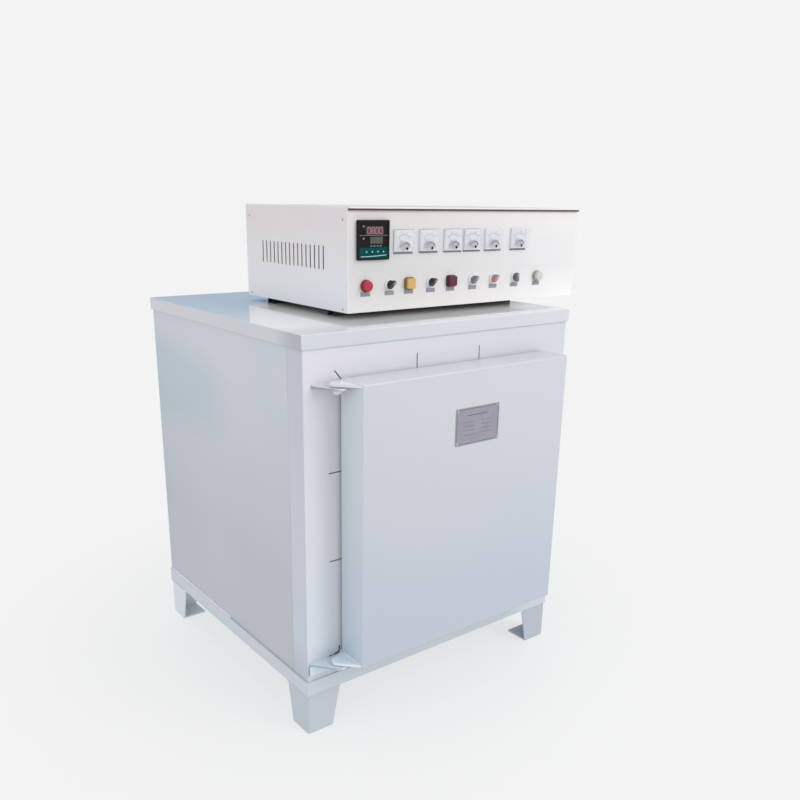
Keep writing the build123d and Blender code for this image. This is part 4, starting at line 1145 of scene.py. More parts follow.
def grow(tree: Tree, base: Mesh, finish: Finish, **sizes) -> Mesh:
    """Runs a geometry tree on a base mesh and gives a plain mesh.

    Args:
        tree: The geometry tree.
        base: What the tree starts from.
        finish: The finish that the tree sets.
        sizes: Values of the tree's named inputs.

    Returns:
        The grown mesh.
    """
    carrier = bpy.data.objects.new("carrier", base)
    bpy.context.scene.collection.objects.link(carrier)
    modifier = carrier.modifiers.new("grow", "NODES")
    modifier.node_group = tree
    values = {"Finish": finish.material(), **sizes}
    for item in tree.interface.items_tree:
        if item.in_out == "INPUT" and item.name in values:
            modifier[item.identifier] = values[item.name]
    graph = bpy.context.evaluated_depsgraph_get()
    grown = bpy.data.meshes.new_from_object(
        carrier.evaluated_get(graph), preserve_all_data_layers=True, depsgraph=graph,
    )
    bpy.data.objects.remove(carrier)
    bpy.data.meshes.remove(base)
    return grown


@geometry_tree(Copy="Object")
def copies_at_points(graph: Graph, take: Sockets) -> list[Socket]:
    """Sets one shape at every point, turned to the point's own facing.

    Args:
        graph: The tree's nodes.
        take: The tree's inputs.

    Returns:
        The copies.
    """
    shape = graph.add("GeometryNodeObjectInfo", {"Object": take["Copy"]}).outputs["Geometry"]
    feeds = {"Vector": graph.attribute("facing", "FLOAT_VECTOR")}
    aimed = graph.add("FunctionNodeAlignRotationToVector", feeds, axis="Z").outputs[0]
    spin = graph.attribute("spin", "FLOAT")
    turned = graph.add("FunctionNodeAxisAngleToRotation", {"Angle": spin}).outputs[0]
    feeds = {0: aimed, 1: turned}
    both = graph.add("FunctionNodeRotateRotation", feeds, rotation_space="LOCAL").outputs[0]
    feeds = {"Points": take["Geometry"], "Instance": shape, "Rotation": both}
    placed = graph.add("GeometryNodeInstanceOnPoints", feeds).outputs[0]
    return graph.painted(placed, take["Finish"])


@geometry_tree(
    Count="Int", Radius="Float", Start="Float", Sweep="Float", Width="Float", Length="Float",
    Thickness="Float",
)
def arc_scale(graph: Graph, take: Sockets) -> list[Socket]:
    """Sets marks at even steps along an arc, each pointing away from its centre.

    Args:
        graph: The tree's nodes.
        take: The tree's inputs.

    Returns:
        The marks.
    """
    feeds = {"Resolution": take["Count"], "Radius": take["Radius"]}
    feeds |= {"Start Angle": take["Start"], "Sweep Angle": take["Sweep"]}
    arc = graph.add("GeometryNodeCurveArc", feeds).outputs[0]
    points = graph.add("GeometryNodeCurveToPoints", {"Curve": arc}, mode="EVALUATED").outputs[0]
    size = graph.joined(X=take["Width"], Y=take["Length"], Z=take["Thickness"])
    mark = graph.add("GeometryNodeMeshCube", {"Size": size}).outputs[0]
    feeds = {"Vector": graph.add("GeometryNodeInputPosition").outputs[0]}
    aimed = graph.add("FunctionNodeAlignRotationToVector", feeds, axis="Y", pivot_axis="Z")
    feeds = {"Points": points, "Instance": mark, "Rotation": aimed.outputs[0]}
    placed = graph.add("GeometryNodeInstanceOnPoints", feeds).outputs[0]
    return graph.painted(placed, take["Finish"])


@geometry_tree(Radius="Float", Step="Float", Waver="Float", Seed="Float")
def weld_bead(graph: Graph, take: Sockets) -> list[Socket]:
    """Lays a rippled weld bead along the edges of the base mesh.

    Args:
        graph: The tree's nodes.
        take: The tree's inputs.

    Returns:
        The bead.
    """
    ripple_pitch, ripple_depth, waver_scale = 2.6 * MM, 0.1, 160.0
    line = graph.add("GeometryNodeMeshToCurve", {"Mesh": take["Geometry"]}).outputs[0]
    feeds = {"Curve": line, "Length": take["Step"]}
    fine = graph.add("GeometryNodeResampleCurve", feeds, mode="LENGTH").outputs[0]
    where = graph.add("GeometryNodeInputPosition").outputs[0]
    moved = graph.vectors("ADD", where, graph.joined(Z=take["Seed"]))
    noise = graph.noise(moved, waver_scale, 1.0, gives=1)
    offset = graph.scaled(graph.vectors("SUBTRACT", noise, (0.5, 0.5, 0.5)), take["Waver"])
    feeds = {"Geometry": fine, "Offset": offset}
    shaken = graph.add("GeometryNodeSetPosition", feeds).outputs[0]
    along = graph.add("GeometryNodeSplineParameter").outputs["Length"]
    ripple = graph.maths("SINE", graph.maths("MULTIPLY", along, math.tau / ripple_pitch))
    width = graph.maths("MULTIPLY_ADD", ripple, ripple_depth, 1.0)
    feeds = {"Resolution": 8, "Radius": take["Radius"]}
    ring = graph.add("GeometryNodeCurvePrimitiveCircle", feeds).outputs[0]
    feeds = {"Curve": shaken, "Profile Curve": ring, "Fill Caps": True}
    tube = graph.add("GeometryNodeCurveToMesh", feeds)
    if "Scale" in tube.inputs:
        graph.feed(tube, {"Scale": width})
    return graph.painted(tube.outputs[0], take["Finish"])


ROPE_STRANDS = 4


@geometry_tree(Steps="Int", Turns="Float", Strand="Float", Across="Float", Deep="Float")
def twisted_rope(graph: Graph, take: Sockets) -> list[Socket]:
    """Twists the strands of a rope along the closed loop of the base mesh.

    Args:
        graph: The tree's nodes.
        take: The tree's inputs.

    Returns:
        The rope.
    """
    line = graph.add("GeometryNodeMeshToCurve", {"Mesh": take["Geometry"]}).outputs[0]
    feeds = {"Curve": line, "Count": take["Steps"]}
    fine = graph.add("GeometryNodeResampleCurve", feeds, mode="COUNT").outputs[0]
    share = graph.add("GeometryNodeSplineParameter").outputs["Factor"]
    tangent = graph.add("GeometryNodeInputTangent").outputs[0]
    inward = graph.vectors("CROSS_PRODUCT", tangent, (0.0, 1.0, 0.0))
    turned = graph.maths("MULTIPLY", graph.maths("MULTIPLY", share, take["Turns"]), math.tau)
    feeds = {"Resolution": 6, "Radius": take["Strand"]}
    ring = graph.add("GeometryNodeCurvePrimitiveCircle", feeds).outputs[0]
    bundle = graph.add("GeometryNodeJoinGeometry")
    for strand in range(ROPE_STRANDS):
        angle = graph.maths("ADD", turned, math.tau * strand / ROPE_STRANDS)
        across = graph.maths("MULTIPLY", graph.maths("COSINE", angle), take["Across"])
        deep = graph.maths("MULTIPLY", graph.maths("SINE", angle), take["Deep"])
        offset = graph.vectors("ADD", graph.scaled(inward, across), graph.joined(Y=deep))
        feeds = {"Geometry": fine, "Offset": offset}
        moved = graph.add("GeometryNodeSetPosition", feeds).outputs[0]
        feeds = {"Curve": moved, "Profile Curve": ring}
        graph.feed(bundle, {0: graph.add("GeometryNodeCurveToMesh", feeds).outputs[0]})
    return graph.painted(bundle.outputs[0], take["Finish"])


def set_copies(copy: Mesh, places: Sequence[Place], finish: Finish) -> Mesh:
    """Sets one mesh at many places.

    Args:
        copy: The mesh, which stands along its own Z axis.
        places: Point, facing and spin of each copy.
        finish: The finish of all copies.

    Returns:
        One mesh of all copies.
    """
    points = bpy.data.meshes.new("points")
    points.from_pydata([place[0] for place in places], [], [])
    facing = points.attributes.new("facing", "FLOAT_VECTOR", "POINT")
    facing.data.foreach_set("vector", [part for place in places for part in place[1]])
    spin = points.attributes.new("spin", "FLOAT", "POINT")
    spin.data.foreach_set("value", [place[2] for place in places])
    source = bpy.data.objects.new("copy", copy)
    bpy.context.scene.collection.objects.link(source)
    grown = grow(copies_at_points(), points, finish, Copy=source)
    bpy.data.objects.remove(source)
    bpy.data.meshes.remove(copy)
    for spare in ("facing", "spin"):
        if spare in grown.attributes:
            grown.attributes.remove(grown.attributes[spare])
    return grown


def polyline(points: Sequence[Vector], closed: bool = False) -> Mesh:
    """Makes a mesh of edges through points.

    Args:
        points: The points in order.
        closed: Whether the last point joins the first.

    Returns:
        The mesh.
    """
    count = len(points)
    edges = [(step, (step + 1) % count) for step in range(count if closed else count - 1)]
    made = bpy.data.meshes.new("line")
    made.from_pydata(points, edges, [])
    return made


def crossed_screw(radius: float, height: float) -> Mesh:
    """Makes a domed screw head with a cross recess, standing on its local XY plane.

    Args:
        radius: Radius of the head.
        height: Height of the dome.

    Returns:
        The mesh.
    """
    sides, flat, rim_height = 20, radius * 0.52, height * 0.98
    arm, slot, floor, taper = radius * 0.46, radius * 0.12, height * 0.3, 0.8
    shape = Shape()
    profile = [(radius * 0.96, -0.2 * MM), (radius, height * 0.25)]
    profile += [(radius * 0.93, height * 0.55), (radius * 0.74, height * 0.85)]
    shape.turned([*profile, (flat, rim_height)], sides=sides)
    cross = [(arm, slot), (slot, slot), (slot, arm), (-slot, arm), (-slot, slot), (-arm, slot)]
    cross += [(-x, -y) for x, y in cross]
    angles = [math.tau * step / sides for step in range(sides)]
    rim = [(flat * math.cos(angle), flat * math.sin(angle)) for angle in angles]
    top = [shape.mesh.verts.new((x, y, height)) for x, y in cross]
    deep = [shape.mesh.verts.new((x * taper, y * taper, floor)) for x, y in cross]
    outer = [shape.mesh.verts.new((x, y, rim_height)) for x, y in rim]
    loop = list(zip(top, top[1:] + top[:1], deep, deep[1:] + deep[:1]))
    for near, after, under, under_after in loop:
        shape.mesh.faces.new((near, under, under_after, after))
    shape.mesh.faces.new(deep)
    edges = [shape.mesh.edges.get((near, after)) for near, after, _, _ in loop]
    edges += [shape.mesh.edges.new(pair) for pair in zip(outer, outer[1:] + outer[:1])]
    bmesh.ops.triangle_fill(shape.mesh, edges=edges, use_beauty=True)
    return shape.flat_mesh("screw_head", 30.0)


# The furnace, one class for each sub-assembly


@dataclass
class Cabinet:
    """The sheet steel cabinet on its base frame."""

    bead: float = 2.7 * MM
    bead_inset: float = 3.0 * MM
    bead_sunk: float = 0.6 * MM
    leg_bead: float = 1.3 * MM
    leg_inset: float = 4.0 * MM
    marks: int = 14
    marks_seed: int = 5
    marks_reach: float = 27.0
    marks_rise: tuple[float, float] = (2.0, 9.0)
    marks_length: tuple[float, float] = (4.0, 8.0)
    marks_radius: tuple[float, float] = (0.6, 1.2)
    marks_waver: float = 2.0 * MM
    last_mark: tuple[float, float, float, float] = (26.5, 3.0, 27.5, 24.0)
    run: float = 4.2 * MM
    run_waver: float = 4.0 * MM
    run_span: tuple[float, float] = (14.0 * MM, 430.0 * MM)
    run_levels: tuple[float, float] = (2.0 * MM, 1.4 * MM)

    def build(self) -> None:
        """Dresses the sheets and adds the beads, the marks of welding and the run of paint."""
        dress(Stock.frame, "base_frame", "bottom_panel")
        dress(Stock.leg, "legs")
        dress(Stock.face_frame, "front_frame")
        dress(Stock.cabinet, "side_panels", "rear_panel")
        dress(Stock.top, "top_plate")
        self.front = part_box("front_frame")[0].y
        self.bracket_beads()
        self.weld_marks()
        self.leg_beads()
        self.paint_run()

    def bracket_beads(self) -> None:
        """Adds the weld beads between the hinge brackets and the frame."""
        shape, y, inset = Shape(), self.front - self.bead_sunk, self.bead_inset
        for number, (low, high) in enumerate(islands("hinge_brackets")):
            for z in (low.z, high.z):
                start, end = Vector((low.x + inset, y, z)), Vector((high.x - inset, y, z))
                shape.bead(start, end, Stock.hinge, self.bead, 3.0 + number + z)
        shape.piece("bracket_beads", Stock.hinge, CABINET, "frame_paint", ROUNDED)

    def weld_marks(self) -> None:
        """Adds the dark rough marks above the lower bracket."""
        pin = middle_of(islands("hinge_pins")[0]).x
        level = islands("hinge_brackets")[0][1].z
        shape, draw = Shape(), random.Random(self.marks_seed)

        def spot(x: float, z: float) -> Vector:
            """Gives a place on the frame, in millimetres from the pin and the bracket's top."""
            return Vector((pin + x * MM, self.front - 0.3 * MM, level + z * MM))

        for step in range(self.marks):
            reach = self.marks_reach * (step + 1) / self.marks
            least, more = self.marks_rise
            rise = least + more * (reach / self.marks_reach) ** 2
            low, high = draw.uniform(1.0, rise), draw.uniform(1.0, rise + 2.0)
            start, end = spot(reach - draw.uniform(*self.marks_length), low), spot(reach, high)
            radius = draw.uniform(*self.marks_radius) * MM
            shape.bead(start, end, Stock.scorch, radius, 50.0 + step, self.marks_waver)
        start, end = spot(*self.last_mark[:2]), spot(*self.last_mark[2:])
        shape.bead(start, end, Stock.scorch, 1.4 * MM, 48.0, self.marks_waver)
        shape.piece("weld_marks", Stock.scorch, CABINET, "frame_paint", ROUNDED)

    def leg_beads(self) -> None:
        """Adds the thin bead where each leg meets the rail."""
        rail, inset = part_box("base_frame"), self.leg_inset
        z = rail[0].z
        shape = Shape()
        for number, (low, high) in enumerate(islands("legs")):
            x = rail[0].x if low.x < middle_of(rail).x else rail[1].x
            y = rail[0].y if low.y < middle_of(rail).y else rail[1].y
            sideways = Vector((x, low.y + inset, z)), Vector((x, high.y - inset, z))
            ahead = Vector((low.x + inset, y, z)), Vector((high.x - inset, y, z))
            for line, seed in ((sideways, 21.0), (ahead, 34.0)):
                shape.bead(*line, Stock.frame, self.leg_bead, seed + number)
        shape.piece("leg_beads", Stock.frame, CABINET, "frame_paint", ROUNDED)

    def paint_run(self) -> None:
        """Adds the line of thick paint on the rail's top edge, at the rear of the left side."""
        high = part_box("base_frame")[1]
        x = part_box("side_panels")[0].x + 0.8 * MM
        start, end = (
            Vector((x, high.y - back, high.z + level))
            for back, level in zip(self.run_span, self.run_levels)
        )
        shape = Shape().bead(start, end, Stock.run, self.run, 71.0, self.run_waver)
        shape.piece("paint_run", Stock.run, CABINET, "cabinet_paint", ROUNDED)


@dataclass
class Chamber:
    """Bricks, boards, hearth and heating strips behind the door."""

    hook_radius: float = 1.3 * MM
    hook_sides: int = 8
    hook_path: tuple[tuple[float, float], ...] = (
        (-5.0, 0.0), (-5.0, 5.5), (-3.5, 7.5), (3.5, 7.5), (5.0, 5.5), (5.0, 0.0),
    )
    hook_shares: tuple[float, ...] = (0.14, 0.46, 0.78)
    hook_out: float = 4.8 * MM
    runs: int = 10
    run_height: float = 2.5 * MM

    def build(self) -> None:
        """Dresses the lining and sets the hooks that hold the strips."""
        dress(Stock.board, "insulation_boards", "door_lining")
        dress(Stock.brick, "lining_slabs", "lining_side_walls", "lining_back_wall", "throat_bricks")
        dress(Stock.hearth, "hearth_plate")
        dress(Stock.strip, "heating_strips")
        dress(Stock.bright, "element_leads")
        dress(Stock.porcelain, "lead_bushings", "probe_sheath")
        self.strip_hooks()

    def hook(self) -> Shape:
        """Bends one wire hook, whose legs point down along Z.

        Returns:
            The hook.
        """
        shape, rings, path = Shape(), [], self.hook_path
        for step, (x, z) in enumerate(path):
            before = Vector((*path[max(step - 1, 0)], 0.0))
            after = Vector((*path[min(step + 1, len(path) - 1)], 0.0))
            along = (after - before).normalized()
            normal = Vector((-along.y, along.x, 0.0))
            ring = []
            for turn in range(self.hook_sides):
                angle = math.tau * turn / self.hook_sides
                spot = Vector((x, z, 0.0)) * MM + normal * math.cos(angle) * self.hook_radius
                spot.z += math.sin(angle) * self.hook_radius
                ring.append(shape.mesh.verts.new(spot.xzy))
            rings.append(ring)
        for near, far in zip(rings, rings[1:]):
            for step in range(self.hook_sides):
                after = (step + 1) % self.hook_sides
                shape.mesh.faces.new((near[step], near[after], far[after], far[step]))
        shape.mesh.faces.new(rings[0])
        shape.mesh.faces.new(rings[-1])
        return shape

    def strip_hooks(self) -> None:
        """Sets wire hooks over every run of the strips."""
        places = []
        middle = middle_of(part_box("hearth_plate")).x
        for low, high in islands("heating_strips"):
            side = 1.0 if high.x < middle else -1.0
            x = (low.x if side > 0 else high.x) + side * self.hook_out
            pitch = (high.z - low.z - self.run_height) / (self.runs - 1)
            for run in range(self.runs):
                for share in self.hook_shares:
                    y = low.y + (high.y - low.y) * share
                    z = low.z + self.run_height / 2 + run * pitch
                    places.append((Vector((x, y, z)), Vector((side, 0.0, 0.0)), 0.0))
        hook = self.hook()
        hook.repeated(places, "strip_hooks", Stock.strip, CABINET, "heating_alloy", 50.0)


@dataclass
class Hinges:
    """The two hinge sets on the left."""

    bead: float = 2.3 * MM
    bead_sunk: float = 0.4 * MM
    bead_insets: tuple[float, float] = (4.0 * MM, 5.0 * MM)

    def build(self) -> None:
        """Dresses the hinge sets and adds the beads on the door's side."""
        dress(Stock.hinge, "hinge_brackets")
        dress(Stock.ear, "hinge_ears", "hinge_pins", "hinge_nuts")
        self.ear_beads()

    def ear_beads(self) -> None:
        """Adds the weld beads between the hinge ears and the door."""
        shape, x = Shape(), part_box("door_shell")[0].x - self.bead_sunk
        front, rear = self.bead_insets
        for number, (low, high) in enumerate(islands("hinge_ears")):
            for z in (low.z + 0.5 * MM, high.z):
                start, end = Vector((x, low.y + front, z)), Vector((x, high.y - rear, z))
                shape.bead(start, end, Stock.ear, self.bead, 8.0 + number + z)
        shape.piece("ear_beads", Stock.ear, DOOR, "door_paint", ROUNDED)


@dataclass
class Door:
    """The insulated door with its seal and its blank plate."""

    rope_turns: float = 62.0
    rope_steps: int = 1500
    rope_half: float = 8.0 * MM
    strand: float = 3.6 * MM
    corner: float = 14.0 * MM
    corner_steps: int = 6
    rivet_dome: tuple[tuple[float, float], ...] = (
        (1.0, 0.0), (1.0, 0.35), (0.86, 0.95), (0.55, 1.35), (0.3, 1.48), (0.24, 1.1), (0.0, 1.0),
    )
    plate_edge: float = 3.2
    plate_line: float = 0.9
    plate_corner: float = 8.0
    columns: tuple[tuple[float, float], ...] = ((26.0, 66.0), (88.0, 126.0))
    rows: tuple[float, ...] = (38.0, 49.0, 60.0, 71.0)
    row_line: float = 0.6
    title: tuple[float, float, float, float] = (40.0, 110.0, 21.0, 19.6)

    def build(self) -> None:
        """Dresses the door and adds rope, rules and rivets."""
        dress(Stock.door, "door_shell")
        dress(Stock.plate, "nameplate")
        self.rope_seal()
        self.rivets()
        self.rules()

    def rope_seal(self) -> None:
        """Lays a twisted fibre rope where the seal is."""
        low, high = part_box("door_seal")
        centre, half = (low + high) / 2, (high - low) / 2
        reach_x, reach_z = (part - self.rope_half - self.corner for part in (half.x, half.z))
        points = []
        for quarter, (across, up) in enumerate(((1, 1), (-1, 1), (-1, -1), (1, -1))):
            for step in range(self.corner_steps + 1):
                angle = math.radians(90 * quarter + 90 * step / self.corner_steps)
                x = across * reach_x + self.corner * math.cos(angle)
                z = up * reach_z + self.corner * math.sin(angle)
                points.append(Vector((centre.x + x, centre.y, centre.z + z)))
        made = grow(
            twisted_rope(), polyline(points, closed=True), Stock.rope, Steps=self.rope_steps,
            Turns=self.rope_turns, Strand=self.strand, Across=self.rope_half - self.strand,
            Deep=half.y - self.strand,
        )
        soften(made, ROUNDED)
        rope = seat(made, "rope_seal", Stock.rope, DOOR)
        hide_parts("door_seal")

    def rivets(self) -> None:
        """Sets domed rivets in the plate's corners."""
        rivets = islands("nameplate_rivets")
        radius = (rivets[-1][1].x - rivets[-1][0].x) / 2
        spots = [Vector((middle_of(box).x, box[1].y, middle_of(box).z)) for box in rivets]
        head = Shape().turned([(radius * x, z * MM) for x, z in self.rivet_dome])
        places = facing_front(spots)
        made = head.repeated(places, "plate_rivets", Stock.bright, DOOR, "bright_metal", 40.0)
        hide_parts("nameplate_rivets")

    def rules(self) -> None:
        """Adds the border and the blank rules of the plate."""
        low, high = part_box("nameplate")
        shape = Shape()

        def bar(x0: float, x1: float, z0: float, z1: float) -> None:
            """Adds one flat bar, in millimetres from the plate's lower left corner."""
            start = (low.x + x0 * MM, low.y - 0.12 * MM, low.z + z0 * MM)
            shape.block(start, (low.x + x1 * MM, low.y + 0.1 * MM, low.z + z1 * MM))

        width, height = (high.x - low.x) / MM, (high.z - low.z) / MM
        edge, line = self.plate_edge, self.plate_line
        ends = edge + self.plate_corner
        for z in (edge, height - edge - line):
            bar(ends, width - ends, z, z + line)
        for x in (edge, width - edge - line):
            bar(x, x + line, ends, height - ends)
        for row in self.rows:
            for x0, x1 in self.columns:
                bar(x0, x1, height - row, height - row + self.row_line)
        x0, x1, foot, top = self.title
        bar(x0, x1, height - foot, height - top)
        shape.piece("plate_rules", Stock.ink, DOOR, "black_plastic")


@dataclass
class LatchSet:
    """The lever latch on the door's right edge and its keeper."""

    def build(self) -> None:
        """Dresses the latch."""
        dress(Stock.zinc, "latch_base", "latch_keeper")
        dress(Stock.bright, "latch_lever")
        dress(Stock.black, "latch_grip")


@dataclass
class ControlBox:
    """The control box on the top plate."""

    # The dark strip under the lip is a painted shadow.
    shadow_strip_inset: float = 1.6 * MM
    shadow_strip_levels: tuple[float, float] = (8.6 * MM, 4.0 * MM)
    legend_half: float = 15.0 * MM
    legend_height: float = 11.0 * MM
    legend_drop: float = 15.6 * MM
    legend_thick: float = 0.8 * MM

    def build(self) -> None:
        """Dresses the box and adds the painted shadow strip under its lip and the legend plates."""
        dress(Stock.box, "box_cover", "box_chassis")
        dress(Stock.panel, "control_panel")
        # The runners' dark paint is partly painted shade under the box.
        dress(Stock.stand, "box_runners")
        dress(Stock.core, "power_transformer")
        self.lip_trim()
        self.legend_plates()

    def lip_trim(self) -> None:
        """Adds a dark strip under the cover's lip: painted shadow, which also closes the gap."""
        low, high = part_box("box_cover")
        inset, (under, over) = self.shadow_strip_inset, self.shadow_strip_levels
        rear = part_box("control_panel")[0].y + 0.2 * MM
        start = (low.x + inset, low.y + inset, high.z - under)
        shape = Shape().block(start, (high.x - inset, rear, high.z - over), 0.3 * MM)
        shape.piece("lip_trim", Stock.lip_shadow, CABINET, "black_plastic")

    def legend_plates(self) -> None:
        """Adds the blank plate under each switch, whose dark grey is also painted shadow of the
        switch on the panel.
        """
        y, half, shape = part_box("control_panel")[0].y, self.legend_half, Shape()
        for body in [*islands("push_button_bodies"), *islands("selector_bodies")]:
            x, z = middle_of(body).x, middle_of(body).z - self.legend_drop
            start = (x - half, y - self.legend_thick, z - self.legend_height)
            shape.block(start, (x + half, y, z), 0.3 * MM)
        shape.piece("legend_plates", Stock.legend, CABINET, "grey_plastic")


# The corners where each segment of a digit starts and ends: left or right, then top, middle or base
SEGMENT_ENDS = {
    "a": "lt rt", "b": "rt rm", "c": "rm rb", "d": "lb rb", "e": "lm lb", "f": "lt lm",
    "g": "lm rm",
}
SEGMENTS = {"0": "abcdef", "8": "abcdefg"}
# The keys from left to right, and the turn of each arrow in degrees; the first one has a ring
KEYS: dict[str, float | None] = {
    "set_key": None, "shift_key": 90.0, "down_key": 180.0, "up_key": 0.0,
}


@dataclass
class Controller:
    """The temperature controller, measured in millimetres from its upper left corner."""

    reading: str = "0800"
    digit_height: float = 14.6
    digit_pitch: float = 12.2
    bezel: float = 4.0
    side: float = 96.0
    field_inset: float = 4.6
    field_top: float = 66.0
    key_gap: float = 0.5
    lamp_x: float = 16.5
    lamp_levels: tuple[float, float] = (15.0, 44.0)
    line: tuple[float, float, float, float] = (5.0, 91.0, 36.2, 37.0)
    curve_start: float = 8.0
    curve_width: float = 80.0
    curve_rise: float = 3.4
    curve_levels: tuple[float, float] = (86.6, 88.2)
    curve_steps: int = 24
    dashes: tuple[float, ...] = (38.0, 47.5, 57.0, 66.5)
    dash_width: float = 5.5
    dash_levels: tuple[float, float] = (61.5, 62.6)

    def build(self) -> None:
        """Dresses the controller and adds its windows, digits and marks."""
        dress(Stock.case, "controller_case")
        dress(Stock.dark, "controller_face")
        dress(Stock.teal, *KEYS)
        low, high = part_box("controller_face")
        self.left, self.top = low.x - self.bezel * MM, high.z + self.bezel * MM
        self.face = low.y
        self.windows()
        self.key_field()
        self.digits("red_digits", 33.0, 25.0, self.digit_height, Stock.red_light)
        self.digits("green_digits", 42.8, 48.2, self.digit_height * 0.72, Stock.green_light)
        self.marks()
        self.key_marks()

    def spot(self, x: float, z: float) -> Vector:
        """Gives a place on the face."""
        return Vector((self.left + x * MM, self.face, self.top - z * MM))

    def slab(self, shape: Shape, x0: float, x1: float, z0: float, z1: float, proud: float) -> None:
        """Adds a thin slab on the face.

        Args:
            shape: The shape that takes it.
            x0: Its left side.
            x1: Its right side.
            z0: Its top.
            z1: Its foot.
            proud: How far it stands out.
        """
        low, high = self.spot(x0, z1), self.spot(x1, z0)
        shape.block(low + FORWARD * proud * MM, high - FORWARD * 0.2 * MM, 0.05 * MM, 1)

    def windows(self) -> None:
        """Adds the two display windows."""
        for name, finish, sides in (
            ("upper_window", Stock.black, (24.0, 78.5, 15.0, 35.0)),
            ("lower_window", Stock.glass, (36.5, 76.0, 39.6, 57.0)),
        ):
            shape = Shape()
            self.slab(shape, *sides, 0.25)
            shape.piece(name, finish, CABINET, "black_plastic")

    def key_field(self) -> None:
        """Adds the coloured field around the keys."""
        keys, gap, shape = [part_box(name) for name in KEYS], self.key_gap * MM, Shape()
        edges = [self.left + self.field_inset * MM]
        for low, high in keys:
            edges += [low.x - gap, high.x + gap]
        edges.append(self.left + (self.side - self.field_inset) * MM)
        key_low, key_high = keys[0][0].z - gap, keys[-1][1].z + gap
        foot = self.top - (self.side - self.field_inset) * MM
        parts = [(x0, x1, key_low, key_high) for x0, x1 in zip(edges[::2], edges[1::2])]
        parts += [(edges[0], edges[-1], foot, key_low)]
        parts += [(edges[0], edges[-1], key_high, self.top - self.field_top * MM)]
        for x0, x1, z0, z1 in parts:
            shape.block((x0, self.face - 0.15 * MM, z0), (x1, self.face + 0.1 * MM, z1))
        shape.piece("key_field", Stock.teal, CABINET, "face_plastic")

    def digits(self, name: str, x: float, z: float, height: float, finish: Finish) -> None:
        """Adds a row of seven-segment digits.

        Args:
            name: The piece's name.
            x: Middle of the first digit.
            z: Middle of the digits.
            height: Height of a digit.
            finish: The lit finish.
        """
        half_h, half_w = height * MM / 2, height * MM * 0.27
        thick, slant = height * MM * 0.085, 0.05
        corner = {
            side + row: Vector((x, y))
            for side, x in (("l", -half_w), ("r", half_w))
            for row, y in (("t", half_h), ("m", 0.0), ("b", -half_h))
        }
        shape = Shape()
        pitch = self.digit_pitch * height / self.digit_height
        for place, letter in enumerate(self.reading):
            matrix = upright(self.spot(x + place * pitch, z))
            for segment in SEGMENTS[letter]:
                one, two = (corner[end] for end in SEGMENT_ENDS[segment].split())
                along = (two - one).normalized() * thick
                across = Vector((-along.y, along.x))
                one, two = one + along * 0.7, two - along * 0.7
                outline = [one - along, one + across, two + across]
                outline += [two + along, two - across, one - across]
                shape.prism([(x + slant * y, y) for x, y in outline], 0.4 * MM, matrix)
        shape.piece(name, finish, CABINET, "face_plastic")

    def marks(self) -> None:
        """Adds the lamps, the line between the windows and the bright line at the foot."""
        lamps, line, foot = Shape(), Shape(), Shape()
        profile = [(x * MM, z * MM) for x, z in ((2.3, 0.0), (2.3, 0.3), (1.7, 0.6), (0.0, 0.7))]
        for z in self.lamp_levels:
            lamps.turned(profile, self.spot(self.lamp_x, z), FORWARD, 16)
        lamps.piece("face_lamps", Stock.dot, CABINET, "grey_plastic")
        self.slab(line, *self.line, 0.12)
        line.piece("face_line", Stock.dot, CABINET, "face_plastic")
        pitch, overlap = self.curve_width / self.curve_steps, 0.01
        for step in range(self.curve_steps):
            x = self.curve_start + pitch * step
            rise = self.curve_rise * (step / self.curve_steps) ** 2
            z0, z1 = (level - rise for level in self.curve_levels)
            self.slab(foot, x, x + pitch + overlap, z0, z1, 0.28)
        for x in self.dashes:
            self.slab(foot, x, x + self.dash_width, *self.dash_levels, 0.12)
        foot.piece("face_marks", Stock.mark, CABINET, "face_plastic")

    def key_marks(self) -> None:
        """Adds a plain mark on each key: a ring, and three arrows."""
        ring = [(x * MM, z * MM) for x, z in ((0.9, -0.2), (0.9, 0.12), (0.0, 0.12), (0.0, -0.2))]
        arrow = [(x * MM, y * MM) for x, y in ((-2.6, -1.7), (2.6, -1.7), (0.0, 2.3))]
        for name, turn in KEYS.items():
            centre, shape = front_of(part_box(name)), Shape()
            if turn is None:
                shape.framed(ring, 1.5 * MM, 1.5 * MM, upright(centre))
            else:
                shape.prism(arrow, 0.22 * MM, upright(centre - FORWARD * 0.1 * MM, turn))
            shape.piece(f"{name}_mark", Stock.mark, name, "face_plastic")


